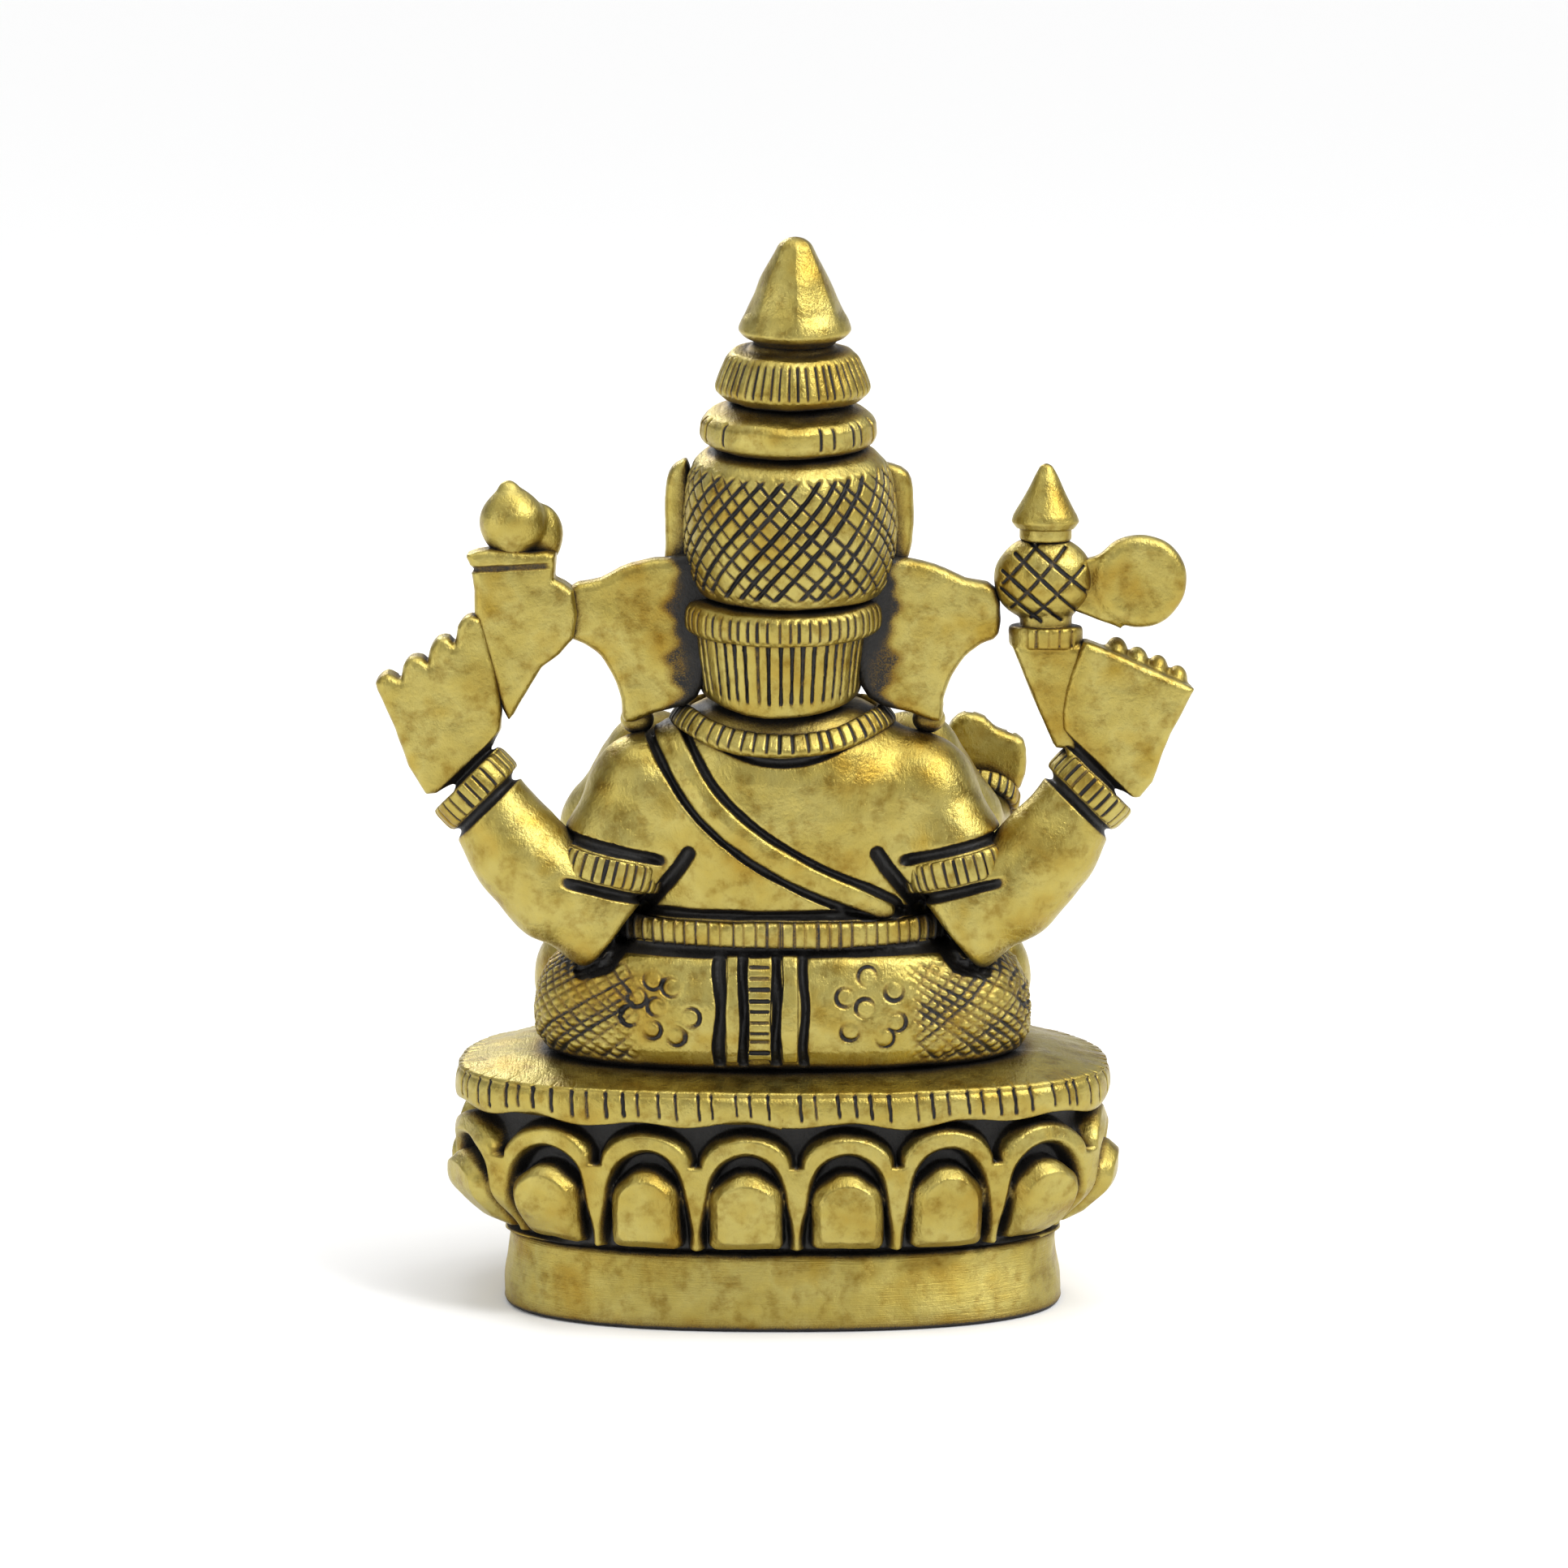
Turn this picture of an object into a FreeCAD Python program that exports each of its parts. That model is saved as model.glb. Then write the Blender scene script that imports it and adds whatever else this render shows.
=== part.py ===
# A seated, four-armed, elephant-headed figure on an oval lotus pedestal, cast in brass.
#
# Frame: millimetres, +Z up, the figure faces -Y, its own right hand is on the -X side.
# The origin is the middle of the flat underside, where the pedestal stands.
#
# The wax original of such a casting is put together from separately formed pieces, and each
# of those pieces is one node here. A piece is cut back by the pieces named before it in
# PIECES, so neighbours meet face to face and never share volume.
import FreeCAD, Part
import math
import os

from FreeCAD import Matrix, Vector

os.makedirs("parts", exist_ok=True)

# ---- driving dimensions -------------------------------------------------------------------
OVERALL_HEIGHT = 89.0

# Pedestal: (half width, depth behind the origin, depth in front of the origin).
PLAN_SQUARENESS = 2.4
SEAT_PLAN = (27.4, 13.0, 18.4)
CORE_PLAN = (25.4, 11.3, 16.7)
FOOT_TOP_PLAN = (22.9, 10.8, 15.6)
FOOT_BOTTOM_PLAN = (23.4, 11.4, 16.2)
FOOT_TOP = 6.4
SEAT_UNDERSIDE = 17.6
SEAT_EDGE_TOP = 20.1
SEAT_CROWN = 21.5
PETAL_COUNT = 16
PETAL_START = 0.64  # of one pitch, so that the rear row is a little off centre
PETAL_PROUD = 1.5
BOSS_PROUD = 2.1

# Figure: the heights where the hips, the belt and the torso meet on level planes.
HIPS_TOP = 31.3
BELT_TOP = 33.7
BELT_PLAN = (13.9, 8.6, 10.4)
TORSO_TOP = 50.6

# Crown: its axis starts here and leans back.
CROWN_BASE = Vector(-0.3, 1.0, 58.0)
CROWN_LEAN = 6.0
CROWN_LENGTH = (OVERALL_HEIGHT - CROWN_BASE.z) / math.cos(math.radians(CROWN_LEAN))

# Rear arms, on the figure's left; the right arm is the mirror image.
REAR_SHOULDER = (Vector(12.3, 2.6, 45.3), 4.7)
REAR_ELBOW = (Vector(15.2, 4.2, 33.7), 4.4)
REAR_WRIST = (Vector(25.4, 3.2, 44.0), 3.1)

# Flat-backed pieces held up behind the head.
BACK_PLANE = 4.6
HELD_THICKNESS = 3.2
EAR_BACK = 3.6
EAR_THICKNESS = 2.4

KEEP_VOLUME = 0.4  # loose crumbs smaller than this, left by a cut, are dropped


# ---- shapes -------------------------------------------------------------------------------
def ellipsoid(centre, radii):
    """A closed ellipsoid with its axes along X, Y and Z."""
    scale = Matrix()
    scale.scale(*radii)
    body = Part.makeSphere(1.0).transformGeometry(scale)
    body.translate(centre)
    return body


LIMB_WAIST = 0.97  # the cones of a limb are this much slimmer than the balls at its joints


def joint_ball(stations, i):
    """The ball at station i, with its seam on the side away from the neighbouring stations."""
    point, radius = stations[i]
    beside = [stations[k][0] for k in (i - 1, i + 1) if 0 <= k < len(stations)]
    middle = sum(beside, Vector()) * (1.0 / len(beside))
    ball = Part.makeSphere(radius, point)
    ball.rotate(point, Vector(0, 0, 1), math.degrees(math.atan2(point.y - middle.y, point.x - middle.x)))
    return ball


def limb(stations, first_ball=True):
    """A ball at each (point, radius) station, and a cone from each to the next."""
    balls = [joint_ball(stations, i) for i in range(len(stations))]
    cones = []
    for (start, r_start), (end, r_end) in zip(stations, stations[1:]):
        along = end - start
        radii = (r_start * LIMB_WAIST, r_end * LIMB_WAIST)
        cones.append(Part.makeCone(*radii, along.Length, start, along))
    solids = cones + (balls if first_ball else balls[1:])
    return solids[0].fuse(solids[1:])


def closed_curve(points):
    """One smooth closed wire through the points."""
    curve = Part.BSplineCurve()
    curve.interpolate(Points=points, PeriodicFlag=True)
    return Part.Wire([curve.toShape()])


def plan_point(plan, angle):
    """A point of the pedestal's squared oval. Behind the origin it is shallower than in front."""
    half_width, back, front = plan
    power = 2.0 / PLAN_SQUARENESS
    c = math.cos(angle)
    s = math.sin(angle)
    depth = back if s >= 0 else front
    return Vector(
        math.copysign(abs(c) ** power * half_width, c),
        math.copysign(abs(s) ** power * depth, s),
        0.0,
    )


def plan_wire(plan, z, points=36):
    """The squared oval as a wire at height z."""
    lift = Vector(0, 0, z)
    return closed_curve([plan_point(plan, 2 * math.pi * i / points) + lift for i in range(points)])


def plan_solid(levels, ruled=False):
    """A loft through squared ovals, given as (plan, z)."""
    return Part.makeLoft([plan_wire(plan, z) for plan, z in levels], True, ruled)


def flat_plate(outline, back, thickness, smooth=True):
    """An outline of (x, z) points as a plate whose rear face lies at y = back."""
    points = [Vector(x, back, z) for x, z in outline]
    wire = closed_curve(points) if smooth else Part.makePolygon(points + points[:1])
    return Part.Face(wire).extrude(Vector(0, -thickness, 0))


def collar(centre, axis, inner, outer, height):
    """A flat ring round an axis, its middle at centre."""
    axis = Vector(axis).normalize()
    base = centre - axis * (height / 2)
    return Part.makeCylinder(outer, height, base, axis).cut(
        Part.makeCylinder(inner, height, base, axis)
    )


def turned(profile):
    """A profile of (radius, height) turned about Z; it starts and ends on the axis."""
    points = [Vector(r, 0, t) for r, t in profile]
    return Part.Face(Part.makePolygon(points + points[:1])).revolve(
        Vector(0, 0, 0), Vector(0, 0, 1), 360
    )


def mirrored(shape):
    """The same piece on the figure's right."""
    return shape.mirror(Vector(0, 0, 0), Vector(1, 0, 0))


def on_crown(shape, drift=0.0):
    """Puts a turned piece on the leaning crown axis; drift moves it sideways."""
    placed = shape.copy()
    placed.rotate(Vector(0, 0, 0), Vector(1, 0, 0), -CROWN_LEAN)
    placed.translate(CROWN_BASE + Vector(drift, 0, 0))
    return placed


# ---- pedestal -----------------------------------------------------------------------------
def pedestal_foot():
    return plan_solid([(FOOT_BOTTOM_PLAN, 0.0), (FOOT_TOP_PLAN, FOOT_TOP)], ruled=True)


def lotus_core():
    return plan_solid([(CORE_PLAN, FOOT_TOP), (CORE_PLAN, SEAT_UNDERSIDE)], ruled=True)


def seat_plate():
    half_width, back, front = SEAT_PLAN
    crown_plan = (half_width - 5.0, back - 3.4, front - 5.0)
    edge = plan_solid([(SEAT_PLAN, SEAT_UNDERSIDE), (SEAT_PLAN, SEAT_EDGE_TOP)], ruled=True)
    dome = plan_solid([(SEAT_PLAN, SEAT_EDGE_TOP), (crown_plan, SEAT_CROWN)], ruled=True)
    return edge.fuse(dome).removeSplitter()


def petal_places():
    """Middles of the petals: even steps along the core's outline, with the outward normal."""
    steps = 1440
    ring = [plan_point(CORE_PLAN, 2 * math.pi * i / steps) for i in range(steps + 1)]
    run = [0.0]
    for a, b in zip(ring, ring[1:]):
        run.append(run[-1] + (b - a).Length)
    pitch = run[-1] / PETAL_COUNT
    quarter = run[steps // 4]
    places = []
    for k in range(PETAL_COUNT):
        target = (quarter + (k + PETAL_START) * pitch) % run[-1]
        i = next(n for n in range(steps) if run[n + 1] > target)
        tangent = (ring[i + 1] - ring[i]).normalize()
        places.append((ring[i], Vector(tangent.y, -tangent.x, 0), tangent, pitch))
    return places


def arch_face(half_width, bottom, spring, top, sink, place):
    """A round-topped doorway outline, standing on the core's wall and sunk into it."""
    point, normal, tangent, _ = place
    middle = point - normal * sink

    def at(u, z):
        return middle + tangent * u + Vector(0, 0, z)

    shoulder = half_width * math.sqrt(0.5)
    rise = (top - spring) * math.sqrt(0.5)
    wire = Part.Wire(
        [
            Part.makeLine(at(-half_width, spring), at(-half_width, bottom)),
            Part.makeLine(at(-half_width, bottom), at(half_width, bottom)),
            Part.makeLine(at(half_width, bottom), at(half_width, spring)),
            Part.Arc(at(half_width, spring), at(shoulder, spring + rise), at(0, top)).toShape(),
            Part.Arc(at(0, top), at(-shoulder, spring + rise), at(-half_width, spring)).toShape(),
        ]
    )
    return Part.Face(wire)


PETAL_SINK = 1.6
ARCH_GAP = 0.12  # between neighbouring arches
ARCH_BAND = 1.05


def lotus_arches():
    """One round arch over each petal."""
    core = lotus_core()
    made = []
    for place in petal_places():
        outer = place[3] / 2 - ARCH_GAP
        push = place[1] * (PETAL_SINK + PETAL_PROUD)
        body = arch_face(outer, 7.0, 13.0, 17.2, PETAL_SINK, place).extrude(push)
        hollow = arch_face(outer - ARCH_BAND, 6.0, 12.2, 15.4, PETAL_SINK, place).extrude(push * 1.01)
        made.append(body.cut([hollow, core]))
    return Part.makeCompound(made)


def lotus_bosses():
    """The raised, round-topped petal under each arch."""
    core = lotus_core()
    made = []
    for place in petal_places():
        push = place[1] * (PETAL_SINK + BOSS_PROUD)
        half = place[3] / 2 - ARCH_BAND - 0.75
        made.append(arch_face(half, 7.0, 11.4, 13.9, PETAL_SINK, place).extrude(push).cut(core))
    return Part.makeCompound(made)


# ---- seated lower body ----------------------------------------------------------------------
def hips():
    return plan_solid(
        [
            ((19.2, 8.8, 9.0), SEAT_CROWN),
            ((20.8, 9.7, 10.0), 23.6),
            ((20.6, 9.6, 10.0), 27.0),
            ((18.8, 8.8, 9.4), 29.6),
            ((15.4, 7.9, 8.8), HIPS_TOP),
        ],
        ruled=True,
    )


def dhoti_pleat():
    """The pleated end of the cloth that hangs down the middle of the back."""
    outline = [(5.0, 22.0), (5.0, 30.6), (-1.4, 30.6), (-1.4, 22.0)]
    return flat_plate(outline, 10.5, 3.2, smooth=False)


def waist_belt():
    return plan_solid([(BELT_PLAN, HIPS_TOP), (BELT_PLAN, BELT_TOP)], ruled=True)


def leg(side):
    """The folded leg: from the hip out to the knee and back in to the ankle."""
    ankle = Vector(-4.0, -14.0, 24.6) if side < 0 else Vector(5.2, -12.0, 24.8)
    return limb(
        [
            (Vector(side * 8.0, -4.5, 26.6), 5.0),
            (Vector(side * 16.4, -7.0, 26.3), 4.7),
            (ankle, 2.9),
        ]
    )


def anklet(side):
    centre = Vector(-6.4, -12.9, 24.9) if side < 0 else Vector(7.4, -11.1, 25.1)
    axis = Vector(side * 12.4, 6.0, 1.6)
    return collar(centre, axis, 2.6, 3.6, 1.5)


def foot(side):
    if side < 0:
        return ellipsoid(Vector(-0.2, -14.7, 23.7), Vector(4.6, 2.6, 1.9))
    return ellipsoid(Vector(1.2, -11.3, 23.6), Vector(4.4, 2.6, 1.9))


def front_fold():
    """The fan of cloth that hangs between the ankles over the seat's edge."""
    outline = [(-3.6, 21.6), (-2.4, 24.5), (2.6, 24.5), (3.8, 21.6), (2.0, 20.0), (-1.8, 20.0)]
    return flat_plate(outline, -16.4, 2.0, smooth=False)


# ---- torso --------------------------------------------------------------------------------
def torso(grow=0.0):
    levels = [
        ((12.6, 7.7, 9.6), BELT_TOP),
        ((13.6, 8.3, 11.2), 36.8),
        ((13.9, 8.6, 11.4), 40.0),
        ((13.2, 8.3, 10.8), 44.4),
        ((11.0, 7.2, 9.0), 48.0),
        ((7.6, 5.8, 6.8), TORSO_TOP),
    ]
    grown = [((w + grow, back + grow, front + grow), z) for (w, back, front), z in levels]
    return plan_solid(grown, ruled=True)


SASH_LINE = [(10.4, 50.2), (7.9, 46.2), (4.9, 42.4), (0.9, 39.2), (-3.7, 36.4), (-8.0, 34.2)]
SASH_HALF_WIDTH = 1.15
SASH_PROUD = 0.7


def sash():
    """The thread over the left shoulder, front and back, as one band that hugs the torso."""
    upper = []
    lower = []
    for i, (x, z) in enumerate(SASH_LINE):
        before = SASH_LINE[max(i - 1, 0)]
        after = SASH_LINE[min(i + 1, len(SASH_LINE) - 1)]
        run = math.hypot(after[0] - before[0], after[1] - before[1])
        nx = (after[1] - before[1]) / run
        nz = -(after[0] - before[0]) / run
        upper.append((x - nx * SASH_HALF_WIDTH, z - nz * SASH_HALF_WIDTH))
        lower.append((x + nx * SASH_HALF_WIDTH, z + nz * SASH_HALF_WIDTH))
    strip = flat_plate(upper + lower[::-1], 20.0, 40.0, smooth=False)
    return torso(SASH_PROUD).common(strip)


def necklace():
    ring = Part.makeTorus(8.0, 1.2)
    ring.rotate(Vector(0, 0, 0), Vector(1, 0, 0), -16)
    ring.translate(Vector(0, 0.8, 50.4))
    return ring


def pendant():
    return ellipsoid(Vector(0, -9.8, 45.8), Vector(1.7, 1.2, 2.1))


def nape_locks():
    """The ribbed fall of hair between the crown and the shoulders."""
    shell = Part.makeCone(6.4, 7.2, 6.0, Vector(0.2, 1.4, TORSO_TOP))
    front = Part.makeBox(30, 30, 30, Vector(-15, -27.6, 40))
    return shell.cut(front)


# ---- head ---------------------------------------------------------------------------------
def head():
    above_torso = Part.makeBox(30, 30, 20, Vector(-15, -15, TORSO_TOP))
    return ellipsoid(Vector(0, -1.3, 56.3), Vector(7.3, 7.6, 6.5)).common(above_torso)


TRUNK = [
    (Vector(0.0, -7.6, 55.2), 3.4),
    (Vector(0.0, -10.6, 50.4), 2.8),
    (Vector(0.6, -13.2, 45.6), 2.4),
    (Vector(2.8, -15.2, 41.6), 2.0),
    (Vector(6.0, -15.9, 40.0), 1.7),
    (Vector(8.4, -15.6, 41.4), 1.4),
]


def trunk():
    return limb(TRUNK)


def tusk(side):
    tip = Vector(-4.9, -12.6, 50.2) if side < 0 else Vector(4.2, -10.9, 51.4)
    return limb([(Vector(side * 3.2, -8.2, 53.2), 1.15), (tip, 0.55)])


LEFT_EAR = [
    (7.4, 61.8),
    (12.4, 61.6),
    (15.6, 60.4),
    (17.2, 60.4),
    (17.4, 56.6),
    (15.4, 55.7),
    (14.0, 54.6),
    (13.1, 52.6),
    (12.8, 50.2),
    (8.4, 50.8),
    (6.4, 55.0),
]


def ear():
    return flat_plate(LEFT_EAR, EAR_BACK, EAR_THICKNESS)


def ear_ring():
    return Part.makeSphere(1.5, Vector(12.0, 1.0, 49.6))


# ---- crown --------------------------------------------------------------------------------
def crown_band():
    profile = [(0, -1.2), (7.6, -1.2), (8.3, -0.4), (8.3, 1.2), (7.6, 2.0), (0, 2.0)]
    return on_crown(turned(profile), 0.3)


def crown_dome():
    profile = [
        (0, 2.0),
        (7.0, 2.0),
        (8.0, 3.0),
        (8.7, 5.2),
        (8.8, 8.0),
        (8.2, 11.0),
        (6.7, 13.3),
        (6.1, 13.8),
        (6.1, 14.3),
        (0, 14.3),
    ]
    return on_crown(turned(profile), -0.3)


def crown_lower_ring():
    profile = [(0, 14.3), (6.5, 14.3), (7.2, 15.0), (7.0, 16.5), (6.0, 17.3), (5.2, 17.9), (0, 17.9)]
    return on_crown(turned(profile), -0.2)


def crown_upper_ring():
    profile = [(0, 17.9), (5.5, 17.9), (6.3, 19.0), (5.3, 21.7), (4.0, 22.3), (3.5, 22.8), (0, 22.8)]
    return on_crown(turned(profile), -0.5)


def crown_finial():
    tip = CROWN_LENGTH
    profile = [
        (0, 22.8),
        (3.6, 22.8),
        (4.4, 24.0),
        (4.3, 24.6),
        (2.1, tip - 2.1),
        (1.3, tip - 0.7),
        (0.7, tip - 0.2),
        (0, tip),
    ]
    return on_crown(turned(profile), -0.7)


def crown_crest():
    """The upright leaf on the front of the crown."""
    outline = [(-2.6, 60.5), (-3.4, 64.5), (0.0, 71.0), (3.4, 64.5), (2.6, 60.5)]
    return flat_plate(outline, -6.4, 2.6)


def crown_wing():
    """The narrow upright leaf beside the crown dome."""
    outline = [(8.0, 59.8), (9.9, 61.0), (9.9, 67.0), (9.2, 69.4), (8.0, 67.5)]
    return flat_plate(outline, 1.6, 2.6)


# ---- rear arms ------------------------------------------------------------------------------
def rear_upper_arm():
    return limb([REAR_SHOULDER, REAR_ELBOW])


def rear_forearm():
    return limb([REAR_ELBOW, REAR_WRIST], first_ball=False)


def armlet():
    return collar(Vector(14.3, 3.6, 37.7), Vector(0.36, 0, -0.93), 4.1, 5.1, 2.0)


def rear_bangle():
    axis = REAR_WRIST[0] - REAR_ELBOW[0]
    return collar(REAR_WRIST[0], axis, 2.8, 3.9, 2.2)


REAR_HAND = [
    (24.6, 46.2),
    (30.2, 44.7),
    (33.5, 51.9),
    (32.6, 52.9),
    (31.3, 52.6),
    (30.3, 54.2),
    (28.9, 53.6),
    (28.2, 55.4),
    (26.9, 55.0),
    (26.2, 57.3),
    (24.6, 57.6),
    (23.2, 49.0),
]


def rear_hand():
    return flat_plate(REAR_HAND, BACK_PLANE + 0.4, 3.4, smooth=False)


# ---- what the rear hands hold ---------------------------------------------------------------
def lotus_cup():
    """A flower seen from behind: broad lip above, narrowing to its stem in the palm."""
    outline = [
        (25.5, 62.9),
        (25.3, 60.0),
        (24.5, 57.0),
        (22.2, 49.8),
        (20.2, 53.0),
        (17.2, 56.4),
        (17.2, 60.4),
        (18.6, 63.2),
    ]
    return flat_plate(outline, BACK_PLANE, HELD_THICKNESS, smooth=False)


def lotus_bud():
    neck = Part.makeCylinder(1.5, 2.0, Vector(22.0, 2.8, 62.6))
    return ellipsoid(Vector(22.0, 2.8, 66.2), Vector(2.8, 2.4, 3.1)).fuse(neck)


AXE_X = -21.4


def axe_staff():
    """The round head, its collar and the stem that runs down into the fist."""
    ball = ellipsoid(Vector(AXE_X, 2.6, 61.2), Vector(4.1, 3.2, 3.6))
    ring = Part.makeCylinder(2.9, 1.8, Vector(AXE_X, 2.6, 55.8))
    stem = flat_plate(
        [(-18.6, 56.6), (-22.0, 48.6), (-24.0, 46.6), (-25.0, 56.6)],
        BACK_PLANE,
        HELD_THICKNESS,
        smooth=False,
    )
    neck = Part.makeCylinder(2.2, 2.0, Vector(AXE_X, 2.6, 57.0))
    return ball.fuse([ring, stem, neck])


def axe_finial():
    cone = Part.makeCone(2.7, 0.45, 5.0, Vector(AXE_X, 2.6, 65.6))
    seat = Part.makeCylinder(2.1, 1.2, Vector(AXE_X, 2.6, 64.5))
    return cone.fuse(seat)


def axe_blade():
    disc = Part.makeCylinder(3.75, HELD_THICKNESS - 0.6, Vector(-29.1, BACK_PLANE, 61.1), Vector(0, -1, 0))
    root = flat_plate(
        [(-24.0, 62.6), (-27.4, 63.4), (-27.4, 57.4), (-24.0, 58.8)],
        BACK_PLANE - 0.4,
        HELD_THICKNESS - 1.2,
        smooth=False,
    )
    return disc.fuse(root)


# ---- front arms -----------------------------------------------------------------------------
FRONT_SHOULDER = (Vector(11.6, -3.6, 44.6), 4.3)
RIGHT_ELBOW = (Vector(-15.6, -8.0, 35.6), 3.7)
RIGHT_WRIST = (Vector(-16.9, -12.0, 40.6), 2.7)
LEFT_ELBOW = (Vector(15.6, -7.4, 35.4), 3.8)
LEFT_WRIST = (Vector(10.8, -13.6, 32.6), 2.7)


def front_arm(side):
    shoulder = Vector(side * FRONT_SHOULDER[0].x, FRONT_SHOULDER[0].y, FRONT_SHOULDER[0].z)
    elbow, wrist = (RIGHT_ELBOW, RIGHT_WRIST) if side < 0 else (LEFT_ELBOW, LEFT_WRIST)
    return limb([(shoulder, FRONT_SHOULDER[1]), elbow, wrist])


def front_bangle(side):
    elbow, wrist = (RIGHT_ELBOW, RIGHT_WRIST) if side < 0 else (LEFT_ELBOW, LEFT_WRIST)
    return collar(wrist[0], wrist[0] - elbow[0], 2.4, 3.4, 1.5)


def right_front_hand():
    """The raised open palm."""
    outline = [
        (-14.6, 41.2),
        (-19.6, 41.2),
        (-20.4, 43.6),
        (-20.1, 45.6),
        (-18.0, 46.7),
        (-15.4, 47.7),
        (-13.9, 46.4),
        (-13.4, 43.8),
    ]
    return flat_plate(outline, -11.2, 2.7, smooth=False)


def left_front_hand():
    """The cupped hand under the bowl."""
    return ellipsoid(Vector(8.2, -15.4, 32.6), Vector(3.6, 3.0, 1.9))


BOWL = Vector(8.0, -15.8, 33.6)


def sweet_bowl():
    cup = turned([(0, 0), (1.6, 0), (3.0, 1.6), (3.3, 2.6), (0, 2.6)])
    cup.translate(BOWL)
    return cup


def sweets():
    """Three round sweets heaped on the bowl."""
    places = [(-1.25, -0.7), (1.25, -0.7), (0.0, 1.35)]
    balls = [Part.makeSphere(1.2, BOWL + Vector(x, y, 3.4)) for x, y in places]
    return Part.makeCompound(balls)


# ---- assembly -------------------------------------------------------------------------------
def pair(name, left_piece, *neighbours):
    """The left piece and its mirror image. A neighbour "side_x" means the one on the same side."""

    def on(side):
        return [n.replace("side_", side + "_") for n in neighbours]

    right = (f"right_{name}", mirrored(left_piece), on("right"))
    left = (f"left_{name}", left_piece, on("left"))
    return [right, left]


def ear_neighbours(side, held):
    return [f"{side}_ear_ring", "head", "crown_band", f"{side}_crown_wing", held, "torso"]


def front_arm_neighbours(side, *more):
    own = [f"{side}_rear_upper_arm", f"{side}_front_bangle", f"{side}_front_hand"]
    return ["torso", "sash", *own, *more]


HEAD_NEIGHBOURS = ["crown_band", "crown_dome", "nape_locks", "necklace", "trunk", "right_tusk", "left_tusk"]
LEFT_LEG_NEIGHBOURS = ["left_foot", "right_foot", "left_anklet", "right_leg", "right_anklet"]
UPPER_ARM_NEIGHBOURS = ["side_armlet", "torso", "sash", "waist_belt", "hips"]
FOREARM_NEIGHBOURS = ["side_rear_upper_arm", "side_rear_bangle", "side_rear_hand", "side_armlet"]

# Each piece with the neighbours that it is cut back by.
PIECES = [
    ("pedestal_foot", pedestal_foot(), []),
    ("lotus_core", lotus_core(), []),
    ("seat_plate", seat_plate(), []),
    ("lotus_arches", lotus_arches(), []),
    ("lotus_bosses", lotus_bosses(), []),
    ("waist_belt", waist_belt(), []),
    ("dhoti_pleat", dhoti_pleat(), []),
    ("right_foot", foot(-1), []),
    ("left_foot", foot(1), ["right_foot"]),
    ("right_anklet", anklet(-1), ["right_foot", "left_foot"]),
    ("left_anklet", anklet(1), ["left_foot", "right_foot"]),
    ("front_fold", front_fold(), ["right_foot", "left_foot", "seat_plate"]),
    ("hips", hips(), ["dhoti_pleat", "right_leg", "left_leg"]),
    ("right_leg", leg(-1), ["right_foot", "left_foot", "right_anklet"]),
    ("left_leg", leg(1), LEFT_LEG_NEIGHBOURS),
    ("necklace", necklace(), []),
    ("pendant", pendant(), ["necklace"]),
    *pair("armlet", armlet()),
    *pair("rear_bangle", rear_bangle()),
    ("right_front_bangle", front_bangle(-1), []),
    ("left_front_bangle", front_bangle(1), []),
    ("crown_band", crown_band(), []),
    ("crown_dome", crown_dome(), []),
    ("crown_lower_ring", crown_lower_ring(), []),
    ("crown_upper_ring", crown_upper_ring(), []),
    ("crown_finial", crown_finial(), []),
    ("crown_crest", crown_crest(), ["crown_band", "crown_dome"]),
    *pair("crown_wing", crown_wing(), "crown_band", "crown_dome"),
    ("nape_locks", nape_locks(), ["crown_band", "necklace"]),
    ("right_tusk", tusk(-1), []),
    ("left_tusk", tusk(1), []),
    ("trunk", trunk(), ["right_tusk", "left_tusk", "pendant"]),
    ("head", head(), HEAD_NEIGHBOURS),
    ("sweet_bowl", sweet_bowl(), ["trunk"]),
    ("sweets", sweets(), ["sweet_bowl", "trunk"]),
    ("torso", torso(), ["necklace", "trunk"]),
    ("sash", sash(), ["torso", "necklace"]),
    ("axe_finial", axe_finial(), []),
    ("axe_staff", axe_staff(), ["axe_finial"]),
    ("axe_blade", axe_blade(), ["axe_staff"]),
    ("lotus_bud", lotus_bud(), []),
    ("lotus_cup", lotus_cup(), ["lotus_bud"]),
    *pair("ear_ring", ear_ring()),
    ("right_ear", mirrored(ear()), ear_neighbours("right", "axe_staff")),
    ("left_ear", ear(), ear_neighbours("left", "lotus_cup")),
    ("right_rear_hand", mirrored(rear_hand()), ["right_rear_bangle", "axe_staff", "axe_blade"]),
    ("left_rear_hand", rear_hand(), ["left_rear_bangle", "lotus_cup"]),
    *pair("rear_upper_arm", rear_upper_arm(), *UPPER_ARM_NEIGHBOURS),
    *pair("rear_forearm", rear_forearm(), *FOREARM_NEIGHBOURS),
    ("right_front_hand", right_front_hand(), ["right_front_bangle"]),
    ("left_front_hand", left_front_hand(), ["left_front_bangle", "sweet_bowl"]),
    ("right_front_arm", front_arm(-1), front_arm_neighbours("right")),
    ("left_front_arm", front_arm(1), front_arm_neighbours("left", "sweet_bowl")),
]

raw_shapes = {name: raw for name, raw, _ in PIECES}
for name, raw, neighbours in PIECES:
    cutters = [raw_shapes[n] for n in neighbours if raw.BoundBox.intersect(raw_shapes[n].BoundBox)]
    shape = raw.cut(cutters) if cutters else raw
    solids = [s for s in shape.Solids if s.Volume > KEEP_VOLUME]
    piece = solids[0] if len(solids) == 1 else Part.makeCompound(solids)
    piece.exportStep(f"parts/{name}.step")
    state = "" if piece.isValid() else "NOT VALID"
    print(f"{name:22s} {len(solids):3d} solid {piece.Volume:9.1f} mm3 {state}")
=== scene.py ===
import math

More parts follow.
